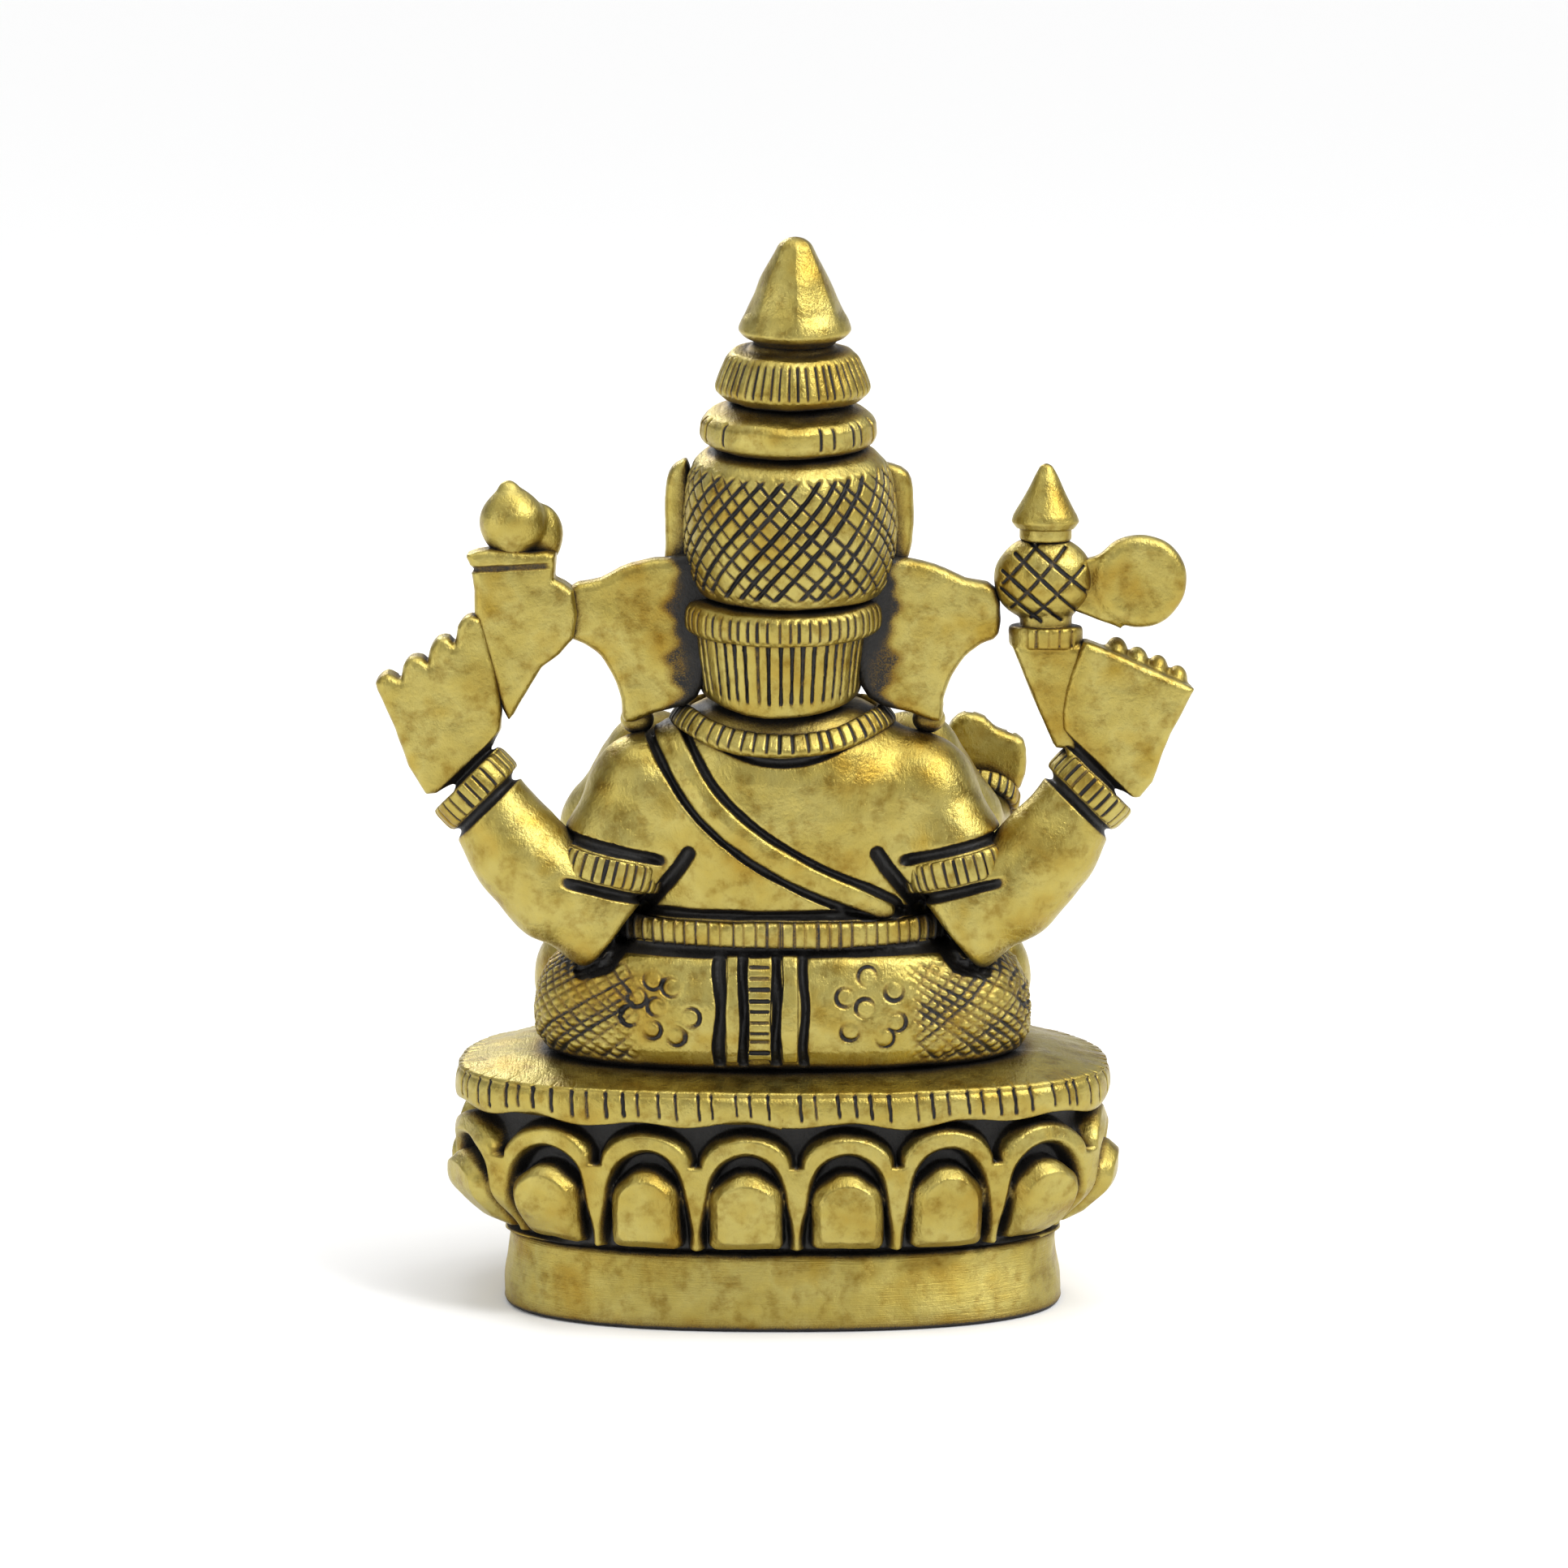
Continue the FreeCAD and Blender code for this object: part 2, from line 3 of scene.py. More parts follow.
import bpy
import numpy as np
import openvdb
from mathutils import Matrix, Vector


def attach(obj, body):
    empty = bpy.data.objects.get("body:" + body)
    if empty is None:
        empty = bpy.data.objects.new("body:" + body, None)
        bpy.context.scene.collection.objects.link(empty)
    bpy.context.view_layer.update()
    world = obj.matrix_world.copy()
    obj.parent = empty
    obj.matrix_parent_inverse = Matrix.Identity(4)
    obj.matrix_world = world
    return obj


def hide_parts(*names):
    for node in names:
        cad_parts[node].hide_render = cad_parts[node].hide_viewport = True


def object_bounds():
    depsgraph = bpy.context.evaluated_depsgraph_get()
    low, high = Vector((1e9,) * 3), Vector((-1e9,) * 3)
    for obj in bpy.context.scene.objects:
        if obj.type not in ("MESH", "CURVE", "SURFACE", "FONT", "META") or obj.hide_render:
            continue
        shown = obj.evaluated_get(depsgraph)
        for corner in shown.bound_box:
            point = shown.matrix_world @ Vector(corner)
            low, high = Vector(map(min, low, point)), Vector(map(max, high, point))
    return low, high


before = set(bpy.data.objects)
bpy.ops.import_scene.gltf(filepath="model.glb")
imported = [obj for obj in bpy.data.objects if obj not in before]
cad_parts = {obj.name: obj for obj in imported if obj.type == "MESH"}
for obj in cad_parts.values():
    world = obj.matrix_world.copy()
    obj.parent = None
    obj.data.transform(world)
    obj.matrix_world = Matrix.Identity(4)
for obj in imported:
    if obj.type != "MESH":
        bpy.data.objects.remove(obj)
CAD_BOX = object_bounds()

MM = 0.001
COARSE = 1.0
F32 = np.float32


# ---- fields: signed distances, negative inside -------------------------------------------------
def smin(a, b, k):
    """Union with a fillet of about k."""
    h = np.clip(0.5 + 0.5 * (b - a) / k, 0.0, 1.0)
    return b + (a - b) * h - k * h * (1.0 - h)


def smax(a, b, k):
    """Intersection with a rounded edge of about k."""
    return -smin(-a, -b, k)


def blob(p, centre, radii):
    """An ellipsoid."""
    q = [(c - o) / r for c, o, r in zip(p, centre, radii)]
    k0 = np.sqrt(q[0] ** 2 + q[1] ** 2 + q[2] ** 2) + 1e-6
    k1 = np.sqrt(sum((c / r) ** 2 for c, r in zip(q, radii))) + 1e-6
    return k0 * (k0 - 1.0) / k1


def bone(p, a, ra, b, rb, flat=1.0):
    """A tapered round bar from a to b; flat below 1 makes it shallower along Y."""
    d = [e - s for s, e in zip(a, b)]
    rel = [c - s for c, s in zip(p, a)]
    h = np.clip(sum(r * e for r, e in zip(rel, d)) / sum(e * e for e in d), 0.0, 1.0)
    off = [r - h * e for r, e in zip(rel, d)]
    distance = np.sqrt(off[0] ** 2 + (off[1] / flat) ** 2 + off[2] ** 2) - (ra + (rb - ra) * h)
    return distance * min(1.0, flat)


def chain(p, stations, k=1.0, flat=1.0):
    """Bars through (point, radius) stations, blended."""
    total = None
    for (a, ra), (b, rb) in zip(stations, stations[1:]):
        part = bone(p, a, ra, b, rb, flat)
        total = part if total is None else smin(total, part, k)
    return total


def mirror_x(point, side):
    return (side * point[0], point[1], point[2])


def axial(p, centre, axis):
    """The coordinate along an axis through centre."""
    n = np.array(axis, float) / np.linalg.norm(axis)
    return sum((c - o) * e for c, o, e in zip(p, centre, n))


SQUARENESS = 2.4


def oval(p, half_width, back, front):
    """Distance from the pedestal's squared oval; its sizes may vary with Z."""
    x, y = p[0], p[1]
    depth = np.where(y >= 0, back, front)
    u = np.abs(x) / half_width + 1e-6
    v = np.abs(y) / depth + 1e-6
    n = SQUARENESS
    f = (u**n + v**n) ** (1.0 / n)
    slope = f ** (1.0 - n) * np.sqrt((u ** (n - 1) / half_width) ** 2 + (v ** (n - 1) / depth) ** 2)
    return (f - 1.0) / slope


def track(u, v, points):
    """Distance from a flat polyline, and the running length at the nearest point."""
    best = np.full(np.broadcast(u, v).shape, 1e6, F32)
    run = np.zeros_like(best)
    start = 0.0
    for (au, av), (bu, bv) in zip(points, points[1:]):
        eu, ev = bu - au, bv - av
        length = math.hypot(eu, ev)
        h = np.clip(((u - au) * eu + (v - av) * ev) / (length * length), 0.0, 1.0)
        d = np.hypot(u - au - h * eu, v - av - h * ev)
        near = d < best
        best = np.where(near, d, best)
        run = np.where(near, start + h * length, run)
        start += length
    return best, run


def outline(u, v, points):
    """Signed distance from a closed flat outline."""
    ring = points + points[:1]
    dist, _ = track(u, v, ring)
    inside = np.zeros(dist.shape, bool)
    for (au, av), (bu, bv) in zip(ring, ring[1:]):
        rise = (bv - av) or 1e-9
        inside ^= ((av > v) != (bv > v)) & (u < (bu - au) * (v - av) / rise + au)
    return np.where(inside, -dist, dist)


def curve(points, closed=False, steps=6):
    """A smooth line through the points."""
    pts = np.array(points, float)
    n = len(pts)
    out = []
    for i in range(n if closed else n - 1):
        ids = np.array([i - 1, i, i + 1, i + 2])
        a, b, c, d = pts[ids % n if closed else ids.clip(0, n - 1)]
        for t in np.linspace(0, 1, steps, endpoint=False):
            bend = (2 * a - 5 * b + 4 * c - d) * t**2 + (3 * b - a - 3 * c + d) * t**3
            out.append(0.5 * (2 * b + (c - a) * t + bend))
    if not closed:
        out.append(pts[-1])
    return [tuple(q) for q in out]


def groove(d, half_width, depth):
    """A round-bottomed cut, d away from its line."""
    return depth * np.clip(1.0 - (d / half_width) ** 2, 0.0, 1.0)


rng = np.random.default_rng(20)
JITTER = rng.uniform(-1, 1, 97)


def jitter(index):
    """A fixed random number from -1 to 1 for each whole number."""
    return JITTER[index % len(JITTER)]


def strokes(run, pitch, half_width, depth, uneven=0.12):
    """Chisel strokes across a band, a little uneven in place and depth."""
    n = np.round(run / pitch).astype(int)
    place = n * pitch + jitter(n) * uneven * pitch
    strength = 0.8 + 0.25 * jitter(n * 7 + 3)
    return groove(np.abs(run - place), half_width, depth) * strength


def scored(u, v, lines, half_width, depth):
    """Single cuts along flat lines."""
    return sum(groove(track(u, v, line)[0], half_width, depth) for line in lines)


def full_turn(count):
    """Angles at even steps once round."""
    return np.arange(count) * 2 * math.pi / count


def sided(side, what):
    return ("right_" if side < 0 else "left_") + what


def squared(value, power):
    """A cosine or sine pushed towards its ends, which squares off a round section."""
    return math.copysign(abs(value) ** power, value)


def fade(value, start, end):
    """0 before start, 1 after end, smooth between."""
    t = np.clip((value - start) / (end - start), 0.0, 1.0)
    return t * t * (3.0 - 2.0 * t)


WAVE_K = rng.normal(size=(14, 3))
WAVE_K /= np.linalg.norm(WAVE_K, axis=1)[:, None]
WAVE_K *= (2 * math.pi / np.geomspace(9.0, 1.7, 14))[:, None]
WAVE_PHASE = rng.uniform(0, 2 * math.pi, 14)
WAVE_SIZE = np.geomspace(1.0, 0.28, 14)


def unevenness(p):
    """The low waves that filing and casting leave, about -1 to 1."""
    return (np.sin(p @ WAVE_K.T + WAVE_PHASE) * WAVE_SIZE).sum(1) / 3.2


# ---- meshes ------------------------------------------------------------------------------------
MATERIAL = {}


def vertex_normals(verts, faces):
    total = np.zeros_like(verts)
    for f in faces:
        n = np.cross(verts[f[:, 2]] - verts[f[:, 0]], verts[f[:, -1]] - verts[f[:, 1]])
        for k in range(f.shape[1]):
            for axis in range(3):
                total[:, axis] += np.bincount(f[:, k], n[:, axis], len(verts))
    return total / (np.linalg.norm(total, axis=1)[:, None] + 1e-12)


def make_piece(name, verts, faces, cut=None, nodes=None, wave=0.08, finish="brass"):
    """A mesh from vertices in mm and arrays of equal-sided faces. It stands for the CAD nodes, which
    are the one of its own name unless others are given."""
    nodes = nodes or [name]
    verts = np.asarray(verts, float)
    corners = verts[np.concatenate([f[:, :3] for f in faces])]
    volume = np.einsum("ij,ij->i", corners[:, 0], np.cross(corners[:, 1], corners[:, 2])).sum()
    if volume < 0:
        faces = [f[:, ::-1] for f in faces]
    if wave:
        shift = unevenness(verts) * wave
        keep = fade(verts[:, 2], 0.2, 2.0)  # the underside stays level
        verts = verts + vertex_normals(verts, faces) * (shift * keep)[:, None]
    mesh = bpy.data.meshes.new(name)
    mesh.vertices.add(len(verts))
    mesh.vertices.foreach_set("co", (verts * MM).astype(F32).ravel())
    sizes = np.concatenate([np.full(len(f), f.shape[1]) for f in faces])
    loops = np.concatenate([f.ravel() for f in faces])
    mesh.loops.add(len(loops))
    mesh.loops.foreach_set("vertex_index", loops.astype(np.int32))
    mesh.polygons.add(len(sizes))
    mesh.polygons.foreach_set("loop_start", (np.cumsum(sizes) - sizes).astype(np.int32))
    mesh.update(calc_edges=True)
    mesh.validate()
    mesh.shade_smooth()
    layer = mesh.attributes.new("chased", "FLOAT", "POINT")
    layer.data.foreach_set("value", np.zeros(len(verts), F32) if cut is None else cut.astype(F32))
    mesh.materials.append(MATERIAL[finish])
    obj = bpy.data.objects.new(name, mesh)
    bpy.context.scene.collection.objects.link(obj)
    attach(obj, "root")
    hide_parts(*nodes)
    return obj


def from_field(name, low, high, step, shape, cuts=None, stain=None, **more):
    """Meshes shape(p), with cuts(p) taken off its surface. stain(p) only blackens it."""
    step *= COARSE
    axes = [np.arange(a - 2 * step, b + 3 * step, step, dtype=F32) for a, b in zip(low, high)]
    p = np.meshgrid(*axes, indexing="ij", sparse=True)
    field = shape(p)
    if cuts:
        field = field + cuts(p)
    field = np.clip(np.broadcast_to(field, [len(a) for a in axes]), -3 * step, 3 * step).astype(F32)
    grid = openvdb.FloatGrid(background=3 * step)
    grid.copyFromArray(np.ascontiguousarray(field))
    points, quads = grid.convertToQuads(isovalue=0.0)
    verts = points.astype(float) * step + np.array([a[0] for a in axes])
    at = [verts[:, 0], verts[:, 1], verts[:, 2]]
    cut = np.clip(cuts(at) / 0.26, 0.0, 1.0) if cuts else np.zeros(len(verts))
    if stain:
        cut = np.maximum(cut, stain(at))
    return make_piece(name, verts, [quads.astype(np.int64)], cut, **more)


def from_rows(name, rows, relief=None, loop=False, **more):
    """A skin over rows of points, closed round each row. relief (same grid) moves it outward.
    With loop the last row joins the first; otherwise the two end rows are closed by a fan."""
    rows = np.asarray(rows, float)
    count, around, _ = rows.shape
    if relief is not None:
        du = np.roll(rows, -1, 1) - np.roll(rows, 1, 1)
        dv = np.roll(rows, -1, 0) - np.roll(rows, 1, 0) if loop else np.gradient(rows, axis=0)
        n = np.cross(du, dv)
        n /= np.linalg.norm(n, axis=2)[:, :, None] + 1e-9
        rows = rows + n * relief[:, :, None]
    ids = np.arange(count * around).reshape(count, around)
    nxt = np.roll(ids, -1, 1)
    low, high = (ids, np.roll(ids, -1, 0)) if loop else (ids[:-1], ids[1:])
    nlow, nhigh = (nxt, np.roll(nxt, -1, 0)) if loop else (nxt[:-1], nxt[1:])
    faces = [np.stack([low, nlow, nhigh, high], 2).reshape(-1, 4)]
    verts = rows.reshape(-1, 3)
    cut = None if relief is None else np.clip(-relief.reshape(-1) / 0.2, 0.0, 1.0)
    if not loop:
        verts = np.vstack([verts, rows[0].mean(0), rows[-1].mean(0)])
        first = np.stack([nxt[0], ids[0], np.full(around, len(verts) - 2)], 1)
        last = np.stack([ids[-1], nxt[-1], np.full(around, len(verts) - 1)], 1)
        faces += [np.vstack([first, last])]
        cut = None if cut is None else np.append(cut, [0.0, 0.0])
    return make_piece(name, verts, faces, cut, **more)


def resample(profile, step):
    """The profile's polyline at even steps; corners stay soft."""
    pts = np.array(profile, float)
    run = np.append(0, np.cumsum(np.linalg.norm(np.diff(pts, axis=0), axis=1)))
    at = np.linspace(0, run[-1], max(4, int(run[-1] / (step * COARSE)) + 1))
    dense = np.stack([np.interp(at, run, pts[:, k]) for k in range(pts.shape[1])], 1)
    for _ in range(3):
        dense[1:-1] = (dense[:-2] + 2 * dense[1:-1] + dense[2:]) / 4
    return dense


# ---- brass -------------------------------------------------------------------------------------
# Clean brass varies slowly from orange to lemon; the first value is the place on the ramp.
BRASS_TONES = [
    (0.30, (0.34, 0.225, 0.036)), (0.45, (0.41, 0.325, 0.08)), (0.58, (0.45, 0.375, 0.112)),
    (0.72, (0.375, 0.265, 0.046)),
]


def brass(name, brushed):
    """Rubbed brass over a black patina that stays in the cuts and where pieces meet."""
    mat = bpy.data.materials.new(name)
    mat.use_nodes = True
    tree = mat.node_tree
    nodes = tree.nodes
    nodes.clear()
    link = tree.links.new

    def node(kind, **values):
        """A node with its inputs linked or set; other names are settings of the node."""
        made = nodes.new(kind)
        for key, value in values.items():
            label = key.replace("_", " ")
            if label not in made.inputs:
                setattr(made, key, value)
            elif isinstance(value, bpy.types.NodeSocket):
                link(value, made.inputs[label])
            else:
                made.inputs[label].default_value = value
        return made

    def math_node(operation, a, b=None, clamp=False):
        made = node("ShaderNodeMath", operation=operation, use_clamp=clamp)
        for socket, value in zip(made.inputs, (a, b)):
            if value is None:
                continue
            if isinstance(value, (int, float)):
                socket.default_value = value
            else:
                link(value, socket)
        return made.outputs[0]

    def weighted(*terms):
        """The sum of (socket, weight) pairs."""
        total = None
        for value, weight in terms:
            part = math_node("MULTIPLY", value, weight)
            total = part if total is None else math_node("ADD", total, part)
        return total

    def noise(vector, scale, detail, rough=0.55):
        made = node("ShaderNodeTexNoise", Vector=vector, Scale=scale, Detail=detail, Roughness=rough)
        return made.outputs["Fac"]

    def ramp(value, stops):
        made = node("ShaderNodeValToRGB")
        band = made.color_ramp
        for _ in range(len(stops) - 2):
            band.elements.new(0.5)
        for element, (place, colour) in zip(band.elements, stops):
            element.position = place
            element.color = (*colour, 1.0)
        link(value, made.inputs[0])
        return made.outputs[0]

    def grey(value, stops):
        return ramp(value, [(place, (level, level, level)) for place, level in stops])

    def mix(factor, a, b, blend="MIX"):
        made = node("ShaderNodeMix", data_type="RGBA", blend_type=blend, Factor=factor, A=a, B=b)
        return made.outputs["Result"]

    coords = node("ShaderNodeTexCoord").outputs["Object"]
    place = node("ShaderNodeMapping", Vector=coords, Scale=(1000.0, 1000.0, 1000.0)).outputs["Vector"]
    stretched = node("ShaderNodeMapping", Vector=place)
    stretched.inputs["Scale"].default_value = (0.25, 0.25, 9.0) if brushed else (5.0, 0.5, 2.2)
    stretched.inputs["Rotation"].default_value = (0.0, 0.0, 0.0) if brushed else (0.5, 0.7, 0.3)

    soft = noise(place, 0.16, 3.0)
    blotch = noise(place, 0.7, 5.0, 0.62)
    grain = noise(place, 3.2, 4.0, 0.6)
    speck = noise(place, 9.0, 2.0, 0.5)
    scratch = noise(stretched.outputs["Vector"], 1.0, 4.0, 0.65)

    occluded = node("ShaderNodeAmbientOcclusion", samples=8, Distance=0.0021)
    near = math_node("SUBTRACT", 1.0, occluded.outputs["AO"])
    chased = node("ShaderNodeAttribute", attribute_name="chased").outputs["Fac"]

    # How much of the patina is left.
    hollow = weighted((near, 1.45), (chased, 0.80))
    broken = weighted((blotch, 0.46), (speck, 0.46))
    kept = math_node("ADD", hollow, math_node("SUBTRACT", broken, 0.45))
    black = grey(kept, [(0.0, 0.0), (0.62, 0.0), (0.82, 1.0), (1.0, 1.0)])
    brown = grey(kept, [(0.0, 0.0), (0.24, 0.0), (0.66, 0.9), (1.0, 1.0)])
    pits = math_node("MULTIPLY", grey(speck, [(0.0, 0.0), (0.66, 0.0), (0.76, 1.0), (1.0, 1.0)]), 0.5)
    pits = math_node("MULTIPLY", pits, grey(blotch, [(0.0, 0.0), (0.52, 0.0), (0.62, 1.0), (1.0, 1.0)]))

    metal = ramp(soft, BRASS_TONES)
    tint = ramp(blotch, [(0.30, (0.60, 0.50, 0.34)), (0.50, (1.0, 1.0, 1.0)), (0.75, (1.12, 1.10, 1.02))])
    mottled = mix(0.85, metal, tint, "MULTIPLY")
    stained = math_node("MULTIPLY", math_node("ADD", brown, pits, clamp=True), 0.80)
    tarnished = mix(stained, mottled, (0.17, 0.085, 0.016, 1.0))
    coloured = mix(black, tarnished, (0.006, 0.0052, 0.0045, 1.0))

    rough = weighted((grain, 0.16), (blotch, 0.20), (scratch, 0.14), (brown, 0.16))
    rough = math_node("ADD", rough, 0.14 if brushed else 0.10)

    height = weighted((grain, 0.5), (scratch, 0.9 if brushed else 0.45), (blotch, 0.8))
    bump = node("ShaderNodeBump", Strength=0.8, Distance=0.00012, Height=height)

    shader = node(
        "ShaderNodeBsdfPrincipled",
        Base_Color=coloured,
        Metallic=math_node("SUBTRACT", 1.0, math_node("MULTIPLY", black, 0.85)),
        Roughness=rough,
        Normal=bump.outputs["Normal"],
    )
    node("ShaderNodeOutputMaterial", Surface=shader.outputs["BSDF"])
    return mat


MATERIAL["brass"] = brass("brass_rubbed", False)
MATERIAL["brushed"] = brass("brass_brushed", True)


# ---- pedestal ----------------------------------------------------------------------------------
PETALS = 16
PETAL_START = 0.64
CORE = (25.4, 11.3, 16.7)
SEAT = (27.4, 13.0, 18.4)
FOOT_TOP = (22.9, 10.8, 15.6)
FOOT_BOTTOM = (23.4, 11.4, 16.2)


def oval_at(plan, turn):
    """Points and outward normals of a squared oval at the given angles."""
    half_width, back, front = plan
    c, s = np.cos(turn), np.sin(turn)
    power = 2.0 / SQUARENESS
    depth = np.where(s >= 0, back, front)
    x = np.sign(c) * np.abs(c) ** power * half_width
    y = np.sign(s) * np.abs(s) ** power * depth
    nx = np.sign(c) * np.abs(c) ** (2 - power) / half_width
    ny = np.sign(s) * np.abs(s) ** (2 - power) / depth
    size = np.hypot(nx, ny)
    return np.stack([x, y], 1), np.stack([nx / size, ny / size], 1)


def even_turns(plan, step):
    """Angles at even steps along the outline from the middle of the back, and the running length."""
    fine = np.linspace(0, 2 * math.pi, 20001) + math.pi / 2
    points, _ = oval_at(plan, fine)
    run = np.append(0, np.cumsum(np.linalg.norm(np.diff(points, axis=0), axis=1)))
    count = int(run[-1] / (step * COARSE))
    at = np.arange(count) * run[-1] / count
    return np.interp(at, run, fine), at, run[-1]


def oval_rows(profile, turns):
    """Rows of points: the profile gives (plan, scale, outset, z) for each row."""
    rows = []
    for plan, scale, outset, z in profile:
        points, normals = oval_at(plan, turns)
        flat = points * scale + normals * outset
        rows.append(np.column_stack([flat, np.full(len(flat), z)]))
    return np.array(rows)


def between(a, b, t):
    return tuple(u + (v - u) * t for u, v in zip(a, b))


def foot():
    turns, _, _ = even_turns(FOOT_BOTTOM, 0.35)
    profile = [(FOOT_BOTTOM, s, -0.5, 0.0) for s in np.linspace(0.1, 1.0, 8)]
    for z, outset in ((0.05, -0.3), (0.18, -0.1), (0.4, 0.0)):
        profile.append((FOOT_BOTTOM, 1.0, outset, z))
    for z in np.arange(0.7, 6.1, 0.3):
        swell = 0.10 * math.sin(z * 0.9) - 0.04
        profile.append((between(FOOT_BOTTOM, FOOT_TOP, z / 6.4), 1.0, swell, z))
    profile += [(FOOT_TOP, 1.0, -0.25, 6.3), (FOOT_TOP, 0.97, -0.5, 6.4), (FOOT_TOP, 0.6, 0.0, 6.4)]
    rows = oval_rows(profile, turns)
    return from_rows("pedestal_foot", rows, finish="brushed", wave=0.10)


def arch_distance(a, z, half, spring, top):
    """Distance outside a round-topped doorway of that half width."""
    rise = top - spring
    u = a / half
    v = np.maximum(z - spring, 0.0) / rise
    f = np.sqrt(u * u + v * v) + 1e-6
    slope = np.sqrt((u / half) ** 2 + (v / rise) ** 2) / f + 1e-6
    return (f - 1.0) / slope


def lotus_band():
    """The ring of petals: a raised round arch over a plump, bevelled petal, black between."""
    turns, run, around = even_turns(CORE, 0.135)
    pitch = around / PETALS
    levels = np.arange(6.3, 17.7, 0.135 * COARSE)
    rows = oval_rows([(CORE, 1.0, 0.0, z) for z in levels], turns)
    z = levels[:, None]
    cell = run[None, :] / pitch - PETAL_START
    index = np.round(cell).astype(int)
    a = (cell - index) * pitch
    # Each petal was cut by hand, so sizes differ a little.
    size = 1.0 + 0.05 * jitter(index)
    tall = 0.35 * jitter(index * 5 + 11)
    half = pitch / 2
    stem = 0.72 + 0.75 * fade(z, 7.5, 12.8)
    inner = arch_distance(np.abs(a), z, half - stem, 11.8, 14.95 + tall)
    outer = arch_distance(np.abs(a), z, half, 14.0, 17.3 + tall)
    outer = np.where(z < 14.0, -9.0, outer)
    across = np.minimum(inner, -outer)
    arch = fade(across, -0.05, 0.34) * (1.15 + 0.75 * fade(across, 0.05, 0.75))
    boss_edge = -smax(
        arch_distance(np.abs(a), z, 3.12 * size, 11.2, 14.0 + tall), (7.0 - z) * np.ones_like(a), 0.7
    )
    boss_edge = boss_edge - 0.25 * fade(z, 12.2, 13.6) * fade(np.abs(a), 0.6, 2.2)
    boss = fade(boss_edge, -0.05, 0.26) * 1.3 + 1.35 * np.clip(boss_edge, 0.0, 1.0) ** 0.8
    relief = np.maximum(arch * fade(z, 6.7, 7.2), boss) - 0.55
    # The lower half draws in towards the foot, and more so at the two ends.
    ends = fade(np.abs(rows[:, :, 0]), 14.0, 25.0)
    drawn_in = 2.9 * fade(z, 11.8, 6.8) ** 1.5 - 0.6 * fade(z, 17.0, 14.5)
    drawn_in = 0.5 * fade(z, 12.0, 6.6) ** 1.3 + ends * drawn_in
    relief = relief - drawn_in
    relief = relief * fade(z, 6.3, 6.9) + (-1.5 - 0.6 * ends) * (1 - fade(z, 6.3, 6.9))
    normals = oval_at(CORE, turns)[1]
    moved = rows.copy()
    moved[:, :, :2] += normals[None] * relief[:, :, None]
    caps_low = oval_rows([(CORE, s, -2.0, 6.32) for s in (0.2, 0.6, 0.9)], turns)
    caps_high = oval_rows([(CORE, s, -0.6, 17.65) for s in (0.97, 0.6, 0.2)], turns)
    skin = np.concatenate([caps_low, moved, caps_high])
    cut = np.zeros(skin.shape[:2])
    cut[3:-3] = np.clip((0.15 - (relief + drawn_in)) / 0.6, 0.0, 1.0)
    parts = ["lotus_core", "lotus_arches", "lotus_bosses"]
    obj = from_rows("lotus_band", skin, nodes=parts, wave=0.09)
    layer = obj.data.attributes["chased"].data
    layer.foreach_set("value", np.append(cut.ravel(), [0, 0]).astype(F32))
    return obj


def seat():
    """The plate over the petals: a notched rim with a wavy lower edge, and a low domed top."""
    turns, run, around = even_turns(SEAT, 0.115)
    pitch = around / PETALS
    wavy = 0.26 * np.cos(2 * math.pi * (run / pitch - PETAL_START)) + 0.12 * np.sin(run * 0.37 + 1)
    sides = np.linspace(0, 1, int(22 / COARSE))
    profile = [(SEAT, s, -1.6, 17.75) for s in (0.3, 0.7, 0.96)] + [(SEAT, 1.0, -0.9, 17.70)]
    count_low = len(profile)
    profile += [(SEAT, 1.0, 0.0, 17.7 + 2.4 * t) for t in sides]
    for inset, z in ((0.35, 20.32), (0.9, 20.45), (1.8, 20.62), (3.0, 20.9), (4.2, 21.2), (5.6, 21.42)):
        profile.append((SEAT, 1.0, -inset, z))
    profile += [(SEAT, s, -5.6, 21.5) for s in (0.85, 0.5, 0.1)]
    rows = oval_rows(profile, turns)
    for k, t in enumerate(sides):
        rows[count_low + k, :, 2] += wavy * (1 - t)
        round_off = -0.30 * (1 - t) ** 6 - 0.32 * t**8 - 0.16 * t
        rows[count_low + k, :, :2] += oval_at(SEAT, turns)[1] * round_off
    relief = np.zeros(rows.shape[:2])
    slant = np.linspace(-0.12, 0.12, len(sides))[:, None]
    reach = fade(sides, 0.12, 0.3)[:, None]
    relief[count_low : count_low + len(sides)] = -strokes(run[None] + slant, 1.52, 0.16, 0.30, 0.28) * reach
    for k, share in enumerate((0.9, 0.35)):
        relief[count_low + len(sides) + k] = -strokes(run + 0.14, 1.52, 0.14, 0.16, 0.28) * share
    return from_rows("seat_plate", rows, relief, wave=0.07)


# ---- lower body --------------------------------------------------------------------------------
def oval_column(p, table):
    """A squared oval whose half width and depths, back and front, change with height."""
    levels, *sizes = zip(*table)
    return oval(p, *(np.interp(p[2], levels, size).astype(F32) for size in sizes))


# (z, half width, depth behind, depth in front)
HIPS = [
    (21.0, 18.6, 8.4, 8.8), (22.0, 19.9, 9.25, 9.6), (23.2, 20.7, 9.75, 10.0),
    (25.0, 20.85, 9.95, 10.1), (27.0, 20.5, 9.8, 10.0), (28.8, 19.5, 9.4, 9.7), (30.2, 17.9, 8.9, 9.3),
    (31.2, 16.0, 8.3, 8.9), (32.4, 13.6, 7.6, 8.4),
]


def hips_skin(p):
    return oval_column(p, HIPS)


